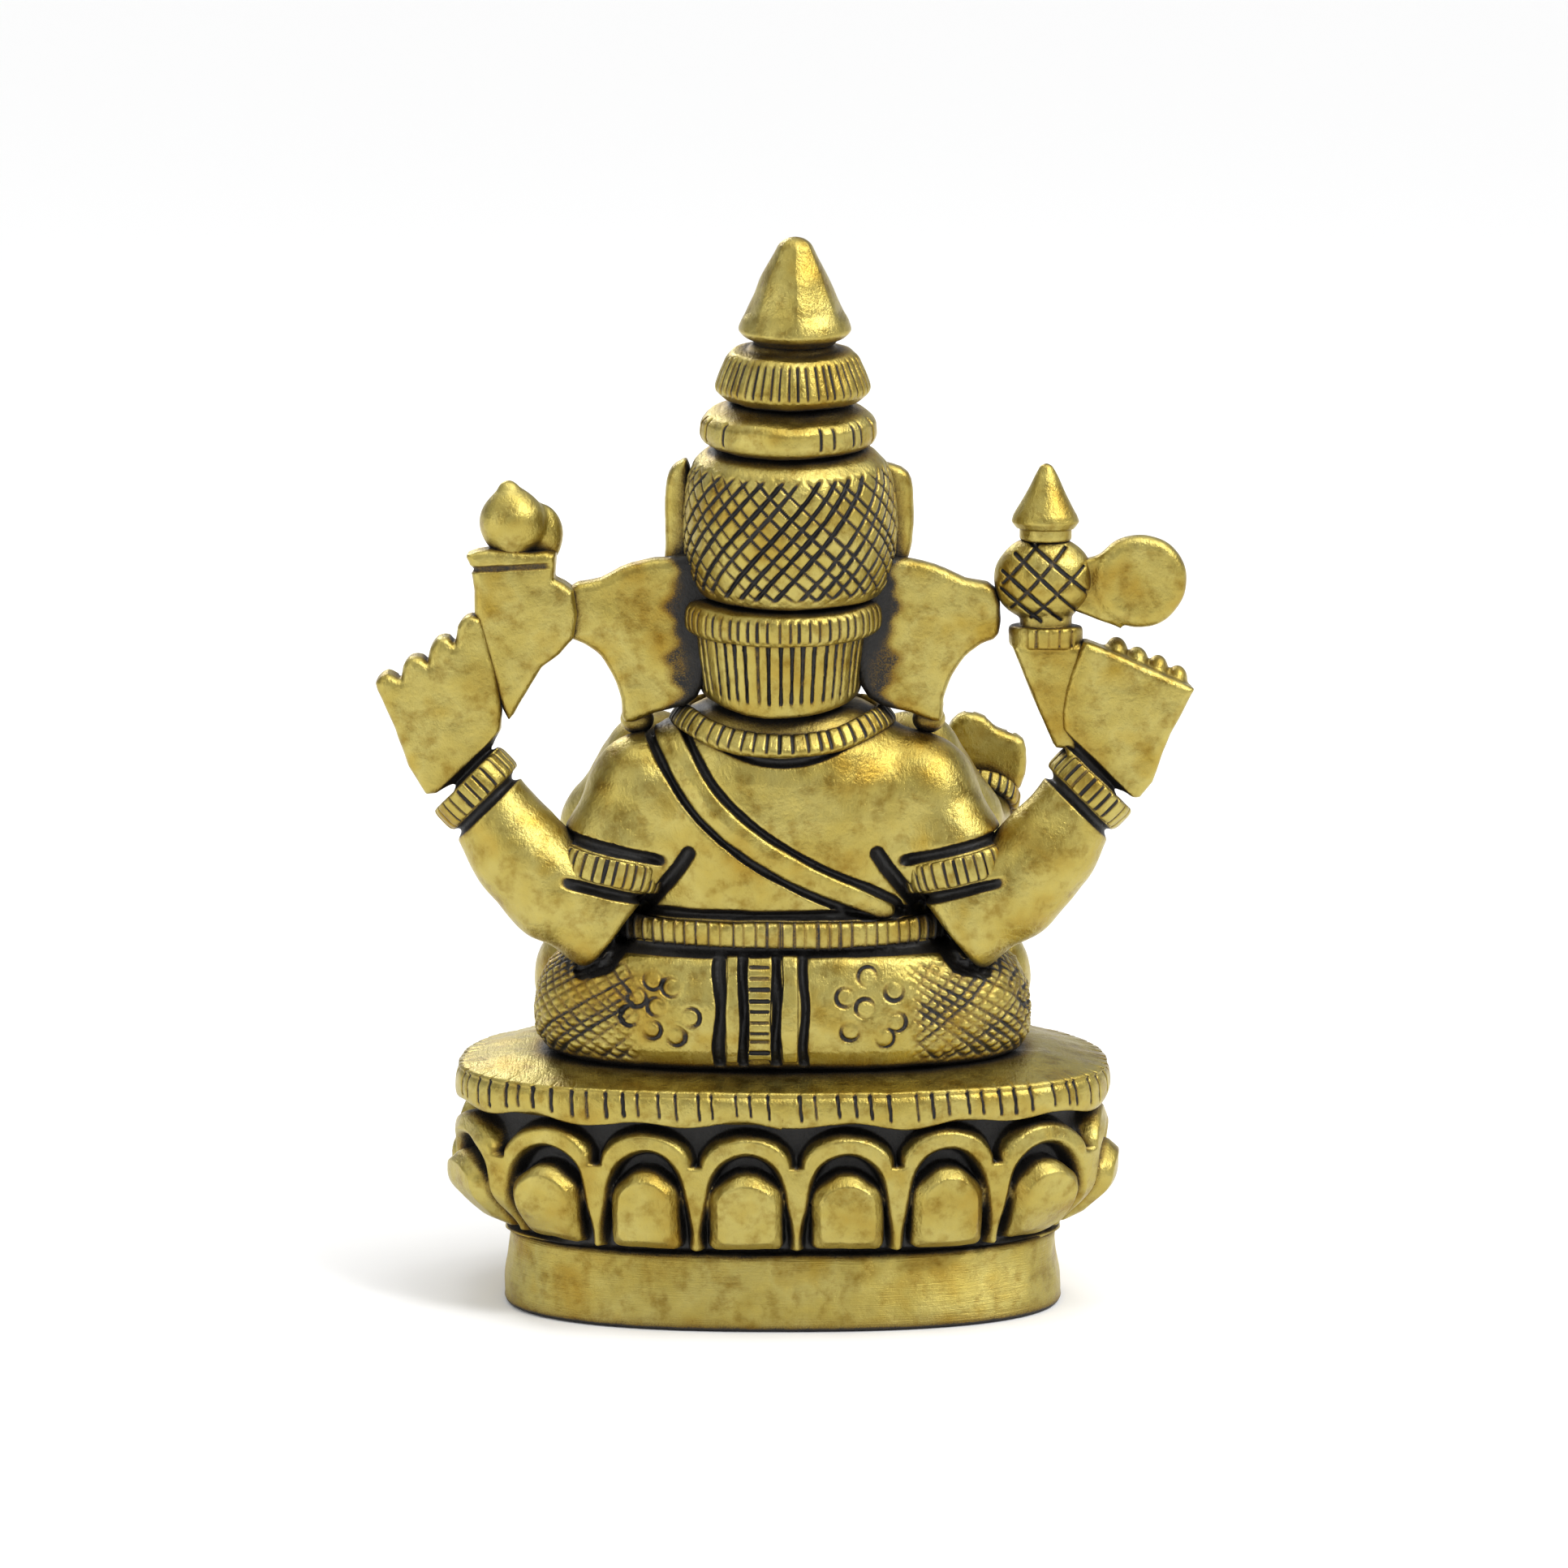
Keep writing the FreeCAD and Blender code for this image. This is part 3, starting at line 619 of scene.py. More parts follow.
# (x, z) of the ring punches on the cloth: seven or eight to a side, and three far to the right.
RING_MARKS = [
    (10.6, 28.9), (9.1, 28.4), (11.9, 27.5), (10.3, 26.8), (12.5, 25.9), (10.7, 24.9), (8.7, 24.4),
    (7.5, 26.0), (-6.9, 29.3), (-5.1, 27.7), (-6.7, 26.8), (-9.1, 28.1), (-5.5, 24.9), (-8.3, 24.3),
    (-9.3, 25.6), (-19.8, 29.2), (-19.5, 27.6), (-20.2, 26.4),
]
PLEAT_GROOVES = [(5.1, 0.52, 0.7), (3.2, 0.42, 0.6), (0.5, 0.46, 0.6), (-1.75, 0.42, 0.6)]


def hips_cuts(p):
    x, y, z = p
    behind = fade(y, 0.5, 2.5)
    total = groove(np.abs(z - 31.2), 0.5, 0.55) * behind
    for side in (-1, 1):
        crease = [(11.6, 33.2), (14.4, 29.7), (16.6, 29.0)]
        total = total + scored(side * x, z, [crease], 0.6, 0.7) * behind
    for i, (cx, cz) in enumerate(RING_MARKS):
        du, dv = x - cx, z - cz
        r = np.hypot(du, dv)
        swing = jitter(i) * 3.0
        worn = 0.62 + 0.38 * np.cos(np.arctan2(dv, du) - swing)
        total = total + groove(np.abs(r - 0.76), 0.21, 0.28) * worn * behind
    turn = np.arctan2(y, x)
    arc = turn * 17.5
    one = strokes(arc * 0.78 + z * 0.95, 0.88, 0.24, 0.31, 0.18)
    two = strokes(arc * 0.78 - z * 0.95, 0.88, 0.24, 0.31, 0.18)
    aside = np.maximum(fade(x, 11.0, 13.2), fade(-x, 9.8, 11.6))
    lively = 0.55 + 0.45 * np.sin(x * 0.7 + z * 1.1)
    zone = aside * fade(z, 21.8, 22.6) * fade(z, 30.6, 29.8)
    total = total + np.maximum(one, two) * zone * (0.6 + 0.4 * lively)
    zone = behind * fade(z, 21.6, 22.4) * fade(z, 31.2, 30.4)
    for gx, wide, deep in PLEAT_GROOVES:
        total = total + groove(np.abs(x - gx + 0.12 * np.sin(z)), wide, deep) * zone
    return total


def hips():
    def shape(p):
        return smax(hips_skin(p), np.abs(p[2] - 26.8) - 5.45, 0.8)

    return from_field("hips", (-21.5, -11, 21.0), (21.5, 10.8, 32.6), 0.15, shape, hips_cuts)


def pleat():
    """Three strips of folded cloth down the back; the middle one is notched."""

    def shape(p):
        x, y, z = p
        skin = hips_skin(p)
        strip = np.abs(x - 1.7) - 2.95
        return smax(smax(skin - 0.32, strip, 0.3), smax(-(skin + 1.2), np.abs(z - 26.6) - 4.4, 0.25), 0.25)

    def cuts(p):
        x, y, z = p
        sway = 0.08 * np.sin(z * 0.8)
        total = groove(np.abs(x - 3.2 + sway), 0.40, 0.85) + groove(np.abs(x - 0.5 - sway), 0.46, 0.9)
        notched = fade(0.95 - np.abs(x - 1.9), 0.0, 0.25)
        return total + strokes(z, 0.86, 0.17, 0.3) * notched

    low, high = (-1.6, 6.5, 22.0), (5.0, 10.8, 31.2)
    return from_field("dhoti_pleat", low, high, 0.1, shape, cuts)


def belt():
    plan = (13.4, 8.15, 10.0)
    turns, run, _ = even_turns(plan, 0.11)
    loop = np.linspace(0, 2 * math.pi, int(30 / COARSE), endpoint=False)
    section = [(squared(math.cos(t), 0.6), squared(math.sin(t), 0.7)) for t in loop]
    rows = oval_rows([(plan, 1.0, 0.62 * c, 32.6 + 1.02 * s) for c, s in section], turns)
    facing = np.clip([c for c, _ in section], 0.0, 1.0)[:, None]
    relief = -strokes(run[None], 0.94, 0.15, 0.24) * fade(facing, 0.15, 0.5)
    return from_rows("waist_belt", rows[::-1], relief[::-1], loop=True)


# ---- torso and rear arms -----------------------------------------------------------------------
TORSO = [
    (31.4, 12.2, 7.2, 8.8), (33.0, 12.5, 7.5, 9.4), (36.0, 13.0, 8.0, 10.9), (39.0, 13.2, 8.3, 11.2),
    (42.0, 12.9, 8.3, 10.9), (45.0, 11.6, 8.0, 10.2), (47.4, 10.0, 7.4, 9.2), (49.2, 8.6, 6.7, 8.0),
    (50.6, 7.2, 5.8, 6.8),
]
ARMLET = (14.3, 3.4, 37.6)
ARM_AXIS = (0.24, 0.05, -0.97)
WRIST = (25.2, 3.2, 43.9)
FOREARM_AXIS = (0.70, -0.07, 0.71)


def torso_skin(p):
    """The back with its rounded shoulders, down to the armlets."""
    total = smax(oval_column(p, TORSO), np.abs(p[2] - 41.0) - 9.7, 1.2)
    for side in (-1, 1):
        arm = chain(
            p,
            [
                ((side * 6.0, 0.6, 46.0), 3.9), ((side * 11.2, 1.9, 43.6), 4.4),
                ((side * 13.8, 3.2, 38.6), 4.3), ((side * 14.7, 3.6, 35.6), 4.1),
            ],
            1.5,
            0.94,
        )
        below = axial(p, mirror_x(ARMLET, side), mirror_x(ARM_AXIS, side))
        total = smin(total, np.maximum(arm, below), 1.6)
    return total


SASH = curve(
    [(10.6, 51.2), (8.9, 47.6), (6.4, 43.6), (2.7, 40.2), (-1.9, 37.4), (-6.4, 35.3), (-8.4, 34.2)]
)


def torso_cuts(p):
    x, y, z = p
    behind = fade(y, -1.0, 1.0)
    d, run = track(x, z, SASH)
    width = 1.45 - 0.012 * run
    total = groove(np.abs(d - width), 0.40, 0.62) * fade(z, 33.2, 34.4)
    total = total + groove(np.abs(z - 34.1), 0.46, 0.6) * behind
    for side in (-1, 1):
        along = axial(p, mirror_x(ARMLET, side), mirror_x(ARM_AXIS, side))
        on_arm = fade(side * x, 9.2, 10.6)
        total = total + groove(np.abs(along + 1.75), 0.5, 0.65) * on_arm
        crease = [(7.7, 39.2), (8.5, 37.9), (12.6, 32.6)]
        total = total + scored(side * x, z, [crease], 0.62, 0.75) * behind
    under_necklace = groove(np.abs(np.hypot(x, z - 56.6) - 9.9), 0.4, 0.4)
    total = total + under_necklace * fade(y, 3.0, 4.5) * fade(z, 50.5, 49.5)
    navel = np.hypot(x, z - 37.0)
    return total + groove(navel, 0.9, 0.7) * fade(y, -6.0, -8.0)


def torso():
    return from_field(
        "torso",
        (-19.5, -12, 31.4),
        (19.5, 9.6, 51.0),
        0.17,
        torso_skin,
        torso_cuts,
        nodes=["torso", "left_rear_upper_arm", "right_rear_upper_arm"],
    )


def sash():
    def shape(p):
        x, y, z = p
        skin = torso_skin(p)
        d, run = track(x, z, SASH)
        band = np.abs(d) - (1.12 - 0.010 * run)
        rolled = 0.30 - 0.14 * d
        total = smax(smax(skin - rolled, band, 0.35), -(skin + 0.9), 0.2)
        return smax(total, 33.5 - z, 0.3)

    return from_field("sash", (-9.6, -11.8, 33.5), (11.6, 9.4, 51.2), 0.13, shape)


def ring(name, centre, axis, inner, outer, height, pitch, deep=1.0):
    """A notched band round a limb; deep below 1 makes it shallower along Y."""
    middle, half = (inner + outer) / 2, (outer - inner) / 2
    n = Vector(axis).normalized()
    u = n.orthogonal().normalized()
    v = n.cross(u)
    around = int(2 * math.pi * outer / (0.1 * COARSE))
    turn = full_turn(around)
    count = int(28 / COARSE)
    rows, facing = [], []
    for t in full_turn(count):
        c = squared(math.cos(t), 0.55)
        s = squared(math.sin(t), 0.55)
        r = middle + half * c
        spin = np.outer(np.cos(turn), u) + np.outer(np.sin(turn), v)
        spin[:, 1] *= deep
        rows.append(np.array(centre) + spin * r + np.array(n) * (height / 2 * s))
        facing.append(c)
    notches = max(8, round(2 * math.pi * outer / pitch))
    relief = -strokes(turn[None] * notches / (2 * math.pi), 1.0, 0.15 / pitch, 0.26)
    relief = relief * fade(np.array(facing)[:, None], 0.2, 0.7)
    return from_rows(name, rows, relief, loop=True)


def rear_forearm(side):
    """Elbow and forearm, from under the armlet to under the bangle."""
    armlet, arm_axis = mirror_x(ARMLET, side), mirror_x(ARM_AXIS, side)
    wrist, axis = mirror_x(WRIST, side), mirror_x(FOREARM_AXIS, side)

    def shape(p):
        stub = bone(p, (side * 13.9, 3.1, 39.6), 4.25, (side * 14.8, 3.8, 34.0), 4.4, 0.92)
        stub = np.maximum(stub, -axial(p, armlet, arm_axis))
        arm = chain(
            p,
            [
                ((side * 14.8, 3.8, 34.0), 4.3), ((side * 18.7, 4.0, 35.7), 3.9),
                ((side * 21.6, 4.0, 38.8), 3.6), ((side * 25.9, 3.2, 45.0), 3.4),
            ],
            2.0,
            0.92,
        )
        point = blob(p, (side * 14.9, 3.9, 31.6), (2.7, 3.4, 2.2))
        arm = smin(smin(arm, stub, 0.8), point, 2.2)
        # The plane where the arm ends against the back, slanting like the crease beside it.
        inward = -0.789 * (side * p[0] - 9.0) - 0.614 * (p[2] - 38.3)
        return smax(smax(arm, inward, 0.7), axial(p, wrist, axis), 0.15)

    def cuts(p):
        total = groove(np.abs(axial(p, armlet, arm_axis) - 1.75), 0.5, 0.6) * fade(side * p[0], 18.4, 17.0)
        return total + groove(np.abs(axial(p, wrist, axis) + 1.55), 0.45, 0.5)

    name = sided(side, "rear_forearm")
    xs = sorted((side * 8.5, side * 29.5))
    return from_field(name, (xs[0], -1.5, 28.0), (xs[1], 8.6, 47.5), 0.15, shape, cuts)


def plate(name, points, back, thickness, step=0.13, cuts=None, dish=0.0, smooth=3, stain=None):
    """A flat piece with rounded edges; dish hollows or swells its rear face."""
    line = curve(points, True, smooth)
    us = [q[0] for q in line]
    vs = [q[1] for q in line]
    middle = back - thickness / 2

    def shape(p):
        edge_d = outline(p[0], p[2], line)
        half = thickness / 2 + dish * np.clip(-edge_d / 4.0, 0.0, 1.0)
        return smax(edge_d, np.abs(p[1] - middle) - half, 0.9)

    low = (min(us), back - thickness - 0.6, min(vs))
    high = (max(us), back + 0.6, max(vs))
    return from_field(name, low, high, step, shape, cuts, stain)


def rear_hands():
    left = [
        (24.2, 45.4), (29.2, 43.6), (31.6, 49.0), (33.1, 52.2), (33.1, 53.1), (32.3, 53.7),
        (31.6, 53.4), (31.1, 53.2), (30.9, 54.2), (30.3, 54.9), (29.4, 54.9), (28.9, 54.5),
        (28.7, 55.6), (28.1, 56.5), (27.2, 56.6), (26.7, 56.1), (26.5, 57.5), (25.8, 58.3),
        (24.9, 58.3), (24.2, 57.2), (22.9, 50.4),
    ]

    def left_cuts(p):
        gaps = [((31.2, 53.0), (29.4, 49.8)), ((28.9, 54.0), (27.2, 50.6)), ((26.9, 55.2), (25.4, 52.0))]
        fingers = scored(p[0], p[2], gaps, 0.32, 0.4) * fade(p[1], 3.0, 2.0)
        return groove(np.abs(axial(p, WRIST, FOREARM_AXIS) - 1.55), 0.45, 0.55) + fingers

    plate("left_rear_hand", left, 5.0, 3.4, cuts=left_cuts, dish=0.15, smooth=2)
    right = [
        (-24.0, 45.2), (-29.2, 43.4), (-31.6, 48.6), (-33.4, 51.9), (-33.2, 52.6), (-29.6, 54.2),
        (-25.4, 56.0), (-24.2, 55.6), (-22.8, 50.4),
    ]

    def right_cuts(p):
        return groove(np.abs(axial(p, mirror_x(WRIST, -1), mirror_x(FOREARM_AXIS, -1)) - 1.55), 0.45, 0.55)

    def right_shape(p):
        line = curve(right, True, 3)
        palm = smax(outline(p[0], p[2], line), np.abs(p[1] - 3.3) - 1.75, 0.8)
        for cx, cz in ((-32.3, 52.8), (-30.7, 53.6), (-29.0, 54.3), (-27.3, 55.1)):
            palm = smin(palm, blob(p, (cx, 2.3, cz), (0.95, 1.3, 1.25)), 0.3)
        return palm

    low, high = (-33.6, 0.6, 43.0), (-22.4, 5.8, 57.6)
    from_field("right_rear_hand", low, high, 0.13, right_shape, right_cuts)


# ---- head --------------------------------------------------------------------------------------
TRUNK = [
    ((0.0, -7.2, 56.2), 3.7), ((0.0, -9.8, 52.4), 3.1), ((0.2, -11.8, 48.8), 2.7),
    ((1.0, -13.3, 45.4), 2.35), ((2.6, -14.3, 42.6), 2.05), ((4.9, -14.8, 40.7), 1.8),
    ((7.2, -14.8, 40.5), 1.55), ((8.7, -14.6, 41.7), 1.35),
]


def head():
    def shape(p):
        total = blob(p, (0, -1.2, 56.0), (7.3, 7.3, 6.4))
        for side in (-1, 1):
            total = smin(total, blob(p, (side * 2.9, -5.2, 59.0), (3.2, 2.8, 2.8)), 1.6)
            total = smin(total, blob(p, (side * 4.2, -5.2, 53.8), (2.7, 3.0, 2.7)), 1.6)
            brow = bone(p, (side * 2.6, -8.0, 57.9), 0.42, (side * 5.6, -6.4, 57.4), 0.3)
            total = smin(total, brow, 0.5)
            total = smin(total, blob(p, (side * 4.1, -7.0, 56.3), (1.35, 0.95, 0.62)), 0.25)
        return smin(total, blob(p, (0, -6.6, 51.6), (2.4, 2.2, 1.4)), 1.0)

    def cuts(p):
        total = 0.0
        for side in (-1, 1):
            lid = np.sqrt(((p[0] - side * 4.1) / 1.75) ** 2 + ((p[2] - 56.3) / 1.0) ** 2)
            total = total + groove(np.abs(lid - 1.0) * 1.2, 0.3, 0.32) * fade(p[1], -4.5, -5.5)
        return total

    from_field("head", (-8.2, -9.6, 49.4), (8.2, 6.4, 62.6), 0.15, shape, cuts)


def trunk():
    def shape(p):
        body = chain(p, TRUNK, 1.4)
        lip = blob(p, (9.0, -14.6, 42.3), (1.55, 1.45, 0.9))
        return smin(body, lip, 0.5)

    def cuts(p):
        nearest = np.full(np.broadcast(*p).shape, 1e6, F32)
        run = np.zeros_like(nearest)
        start = 0.0
        for (a, _), (b, _) in zip(TRUNK, TRUNK[1:]):
            d = [e - s for s, e in zip(a, b)]
            length = math.sqrt(sum(e * e for e in d))
            h = np.clip(sum((c - s) * e for c, s, e in zip(p, a, d)) / length**2, 0.0, 1.0)
            off = np.sqrt(sum((c - s - h * e) ** 2 for c, s, e in zip(p, a, d)))
            near = off < nearest
            nearest = np.where(near, off, nearest)
            run = np.where(near, start + h * length, run)
            start += length
        folds = strokes(run, 1.25, 0.26, 0.24, 0.1) * fade(run, 4.0, 6.0)
        tip = groove(np.hypot(p[0] - 9.1, p[1] + 14.6), 0.6, 0.5) * fade(p[2], 42.4, 42.9)
        return folds + tip

    from_field("trunk", (-4.0, -16.6, 38.4), (10.8, -3.0, 60.2), 0.15, shape, cuts)


def tusks():
    for side, name, tip in ((-1, "right_tusk", (-4.9, -12.4, 50.3)), (1, "left_tusk", (4.1, -10.9, 51.5))):
        mid = (side * 3.9, -10.2, 51.5)

        def shape(p, side=side, mid=mid, tip=tip):
            return chain(p, [((side * 3.1, -7.2, 53.4), 1.25), (mid, 0.95), (tip, 0.5)], 0.5)

        xs = sorted((side * 1.4, side * 5.8))
        from_field(name, (xs[0], -13.4, 49.4), (xs[1], -5.6, 54.9), 0.1, shape)


EAR = [
    (6.0, 62.8), (9.4, 62.9), (12.4, 62.4), (14.9, 61.2), (17.4, 60.4), (17.6, 56.7), (16.2, 55.8),
    (14.9, 54.8), (13.9, 53.2), (13.2, 51.4), (12.9, 49.4), (10.4, 50.2), (7.0, 51.4), (5.6, 56.0),
]


def ear(side):
    name = sided(side, "ear")
    points = [(side * x, z) for x, z in EAR]

    def cuts(p):
        fold = [curve([(8.8, 60.2), (12.2, 59.4), (12.6, 56.0), (11.4, 52.6)])]
        veins = [((9.0, 57.6), (11.6, 58.2)), ((9.0, 56.0), (11.6, 55.6)), ((9.0, 54.4), (10.8, 53.4))]
        x, z = side * p[0], p[2]
        return (scored(x, z, fold, 0.5, 0.5) + scored(x, z, veins, 0.3, 0.3)) * fade(p[1], 1.8, 1.5)

    def stain(p):
        edge = side * p[0] - 9.0 - 0.5 * np.sin(p[2] * 1.3) - 0.25 * np.sin(p[2] * 3.1 + 1.0)
        return fade(edge, 1.2, -0.6) * 0.95

    plate(name, points, 3.6, 2.5, cuts=cuts, stain=stain, dish=0.12)


# ---- crown -------------------------------------------------------------------------------------
CROWN_BASE = (-0.3, 1.0, 58.0)
LEAN = math.radians(-6.0)


def turned(name, profile, drift, relief, step, facets=None):
    """A profile of (radius, height) turned about the crown's leaning axis."""
    dense = resample(profile, step)
    widest = dense[:, 0].max()
    around = int(2 * math.pi * widest / (step * COARSE))
    turn = full_turn(around)
    radius = dense[:, :1] * np.ones((1, around))
    if facets is not None:
        radius = radius * facets(turn[None], dense[:, 1:])
    x = radius * np.cos(turn)
    y = radius * np.sin(turn)
    z = dense[:, 1:] * np.ones((1, around))
    rows = np.stack(
        [
            x + CROWN_BASE[0] + drift,
            y * math.cos(LEAN) - z * math.sin(LEAN) + CROWN_BASE[1],
            y * math.sin(LEAN) + z * math.cos(LEAN) + CROWN_BASE[2],
        ],
        2,
    )
    depth = None if relief is None else relief(turn[None] * widest, dense[:, 1:], turn[None])
    return from_rows(name, rows, depth)


def crown():
    def band_notches(arc, t, turn):
        return -strokes(arc, 0.87, 0.15, 0.26) * fade(t, -0.7, -0.3) * fade(t, 1.6, 1.2)

    band = [
        (0.5, -0.95), (7.4, -0.95), (8.1, -0.8), (8.45, -0.3), (8.5, 0.5), (8.4, 1.2), (8.0, 1.65),
        (7.2, 1.9), (0.5, 1.9),
    ]
    turned("crown_band", band, 0.3, band_notches, 0.11)

    def hatch(arc, t, turn):
        inside = fade(t, 2.6, 3.2) * fade(t, 13.2, 12.2)
        wide = strokes(arc * 0.80 - t * 0.72, 1.34, 0.25, 0.42, 0.2)
        narrow = strokes(arc * 0.74 + t * 0.80, 1.42, 0.18, 0.28, 0.25)
        return -np.maximum(wide, narrow) * inside

    dome = [
        (0.5, 2.0), (6.8, 2.0), (7.6, 2.2), (8.2, 3.2), (8.65, 5.2), (8.8, 7.6), (8.65, 9.8),
        (8.35, 11.6), (7.8, 12.9), (7.0, 13.6), (6.1, 14.0), (5.2, 14.3), (0.5, 14.3),
    ]
    turned("crown_dome", dome, -0.3, hatch, 0.12)

    def few(arc, t, turn):
        gate = (np.sin(turn * 3.0 + 0.6) > 0.1) * 1.0
        return -strokes(arc, 1.7, 0.16, 0.3, 0.6) * gate * fade(t, 14.8, 15.1) * fade(t, 17.0, 16.6)

    lower = [
        (0.5, 13.9), (4.9, 14.1), (6.3, 14.25), (6.95, 14.7), (7.2, 15.3), (7.1, 16.4), (6.6, 16.9),
        (5.5, 17.3), (4.7, 17.8), (0.5, 17.9),
    ]

    def wobble(turn, t):
        return 1 + 0.012 * np.sin(5 * turn + 0.5) + 0.008 * np.sin(9 * turn)

    turned("crown_lower_ring", lower, -0.2, few, 0.12, wobble)

    def rim(arc, t, turn):
        return -strokes(arc, 0.80, 0.14, 0.26) * fade(t, 18.7, 19.1) * fade(t, 21.9, 21.4)

    upper = [
        (0.5, 17.6), (4.6, 17.8), (5.4, 18.1), (6.2, 18.8), (6.3, 19.2), (5.85, 20.4), (5.35, 21.6),
        (4.9, 22.0), (3.6, 22.2), (3.1, 22.7), (0.5, 22.8),
    ]
    turned("crown_upper_ring", upper, -0.5, rim, 0.11, wobble)

    tip = CAD_BOX[1][2] / MM
    top = (tip - CROWN_BASE[2]) / math.cos(LEAN)
    cone = [
        (0.3, 22.4), (3.2, 22.5), (3.5, 22.9), (4.15, 23.2), (4.6, 23.7), (4.35, 24.3), (4.0, 25.0),
        (3.7, 25.7), (3.4, 26.4), (3.12, 27.1), (2.82, 27.8), (2.48, 28.45), (2.08, 29.15),
        (1.72, 29.85), (1.36, top - 0.62), (0.95, top - 0.25), (0.5, top - 0.06), (0.05, top),
    ]

    def filed(turn, t):
        return 1 - 0.05 * np.abs(np.sin(3.5 * turn + 0.7)) * fade(t, 24.4, 25.4)

    turned("crown_finial", cone, -0.7, None, 0.12, filed)

    leaf = [(-2.6, 60.4), (-3.5, 63.4), (-2.6, 67.2), (0.0, 71.0), (2.6, 67.2), (3.5, 63.4), (2.6, 60.4)]

    def leaf_cuts(p):
        inner = outline(p[0], p[2], curve([(x * 0.66, 65.2 + (z - 65.2) * 0.70) for x, z in leaf], True, 3))
        gem = np.hypot(p[0], p[2] - 64.6)
        return groove(np.abs(inner), 0.28, 0.34) + groove(np.abs(gem - 0.95), 0.22, 0.3)

    plate("crown_crest", leaf, -6.4, 2.6, 0.11, cuts=leaf_cuts, dish=0.2)
    for side, name in ((-1, "right_crown_wing"), (1, "left_crown_wing")):
        wide = 1.0 if side < 0 else 0.0
        outer = [(9.5, 61.2), (9.6 + wide, 64.0), (9.7 + wide, 67.6), (9.3 + wide, 69.7)]
        wing = [(7.4, 61.0), *outer, (8.4, 70.6), (7.6, 70.2), (7.2, 64.0)]
        plate(name, [(side * x, z) for x, z in wing], 1.8, 2.6, 0.11, dish=0.1)


def nape():
    """Hair in straight locks under the crown."""

    def shape(p):
        x, y, z = p
        r = np.hypot(x - 0.2, y - 1.4)
        t = np.clip((z - 50.6) / 6.0, 0.0, 1.0)
        wall = r - (6.45 + 0.75 * t)
        sag = 0.028 * (x - 0.2) ** 2
        lower = (50.3 + sag) - z
        total = smax(smax(wall, lower, 0.7), z - 56.7, 0.2)
        return smax(total, 1.2 - y, 0.2)

    def cuts(p):
        turn = np.arctan2(p[0] - 0.2, p[1] - 1.4)
        low = 51.5 + 0.02 * p[0] ** 2
        locks = strokes(turn * 7.0, 0.98, 0.17, 0.34, 0.12)
        return locks * fade(p[2], low - 0.4, low + 0.3) * fade(p[1], 1.6, 2.2)

    from_field("nape_locks", (-7.4, 1.0, 49.8), (7.8, 8.9, 56.9), 0.11, shape, cuts)


def necklace():
    """A notched band round the neck that hangs a little lower behind."""
    around = int(2 * math.pi * 9.2 / (0.1 * COARSE))
    turn = full_turn(around)
    behind = fade(np.sin(turn), 0.0, 1.0)
    radius_x, radius_y = 8.5, 6.9
    x = radius_x * np.cos(turn)
    y = 0.7 + radius_y * np.sin(turn)
    z = 50.4 - 2.25 * np.sin(turn) * behind - 0.6 * (1 - behind)
    count = int(28 / COARSE)
    rows, facing = [], []
    slope = np.radians(52)
    for t in full_turn(count):
        c = squared(math.cos(t), 0.6) * 0.55
        s = squared(math.sin(t), 0.6) * 1.02
        out = c * math.sin(slope) - s * math.cos(slope)
        up = c * math.cos(slope) + s * math.sin(slope)
        rows.append(np.stack([x + out * np.cos(turn), y + out * np.sin(turn), z + up], 1))
        facing.append(c)
    run = turn * 8.2
    relief = -strokes(run[None], 0.98, 0.16, 0.27) * fade(np.array(facing)[:, None], 0.1, 0.45)
    from_rows("necklace", rows, relief, loop=True)


# ---- what the rear hands hold ------------------------------------------------------------------
def spun(p, x, y, squash):
    """Radius about an upright axis, for round pieces that are shallower along Y."""
    return np.sqrt((p[0] - x) ** 2 + ((p[1] - y) / squash) ** 2)


# The cross-hatching on the ball under the axe's finial, as (x, z) ends of each line.
RISING = [
    ((-23.9, 58.7), (-18.9, 63.4)), ((-24.8, 60.2), (-20.2, 64.2)), ((-22.6, 58.0), (-17.9, 62.0)),
    ((-21.0, 57.9), (-17.8, 60.6)),
]
FALLING = [
    ((-18.6, 59.0), (-22.9, 63.9)), ((-20.2, 58.2), (-24.4, 62.4)), ((-17.9, 61.0), (-21.0, 64.5)),
]
FINIAL_HEIGHTS = [65.3, 65.9, 66.4, 68.0, 69.6, 70.4, 70.7]
FINIAL_RADII = [2.3, 2.75, 2.6, 1.75, 0.95, 0.5, 0.1]


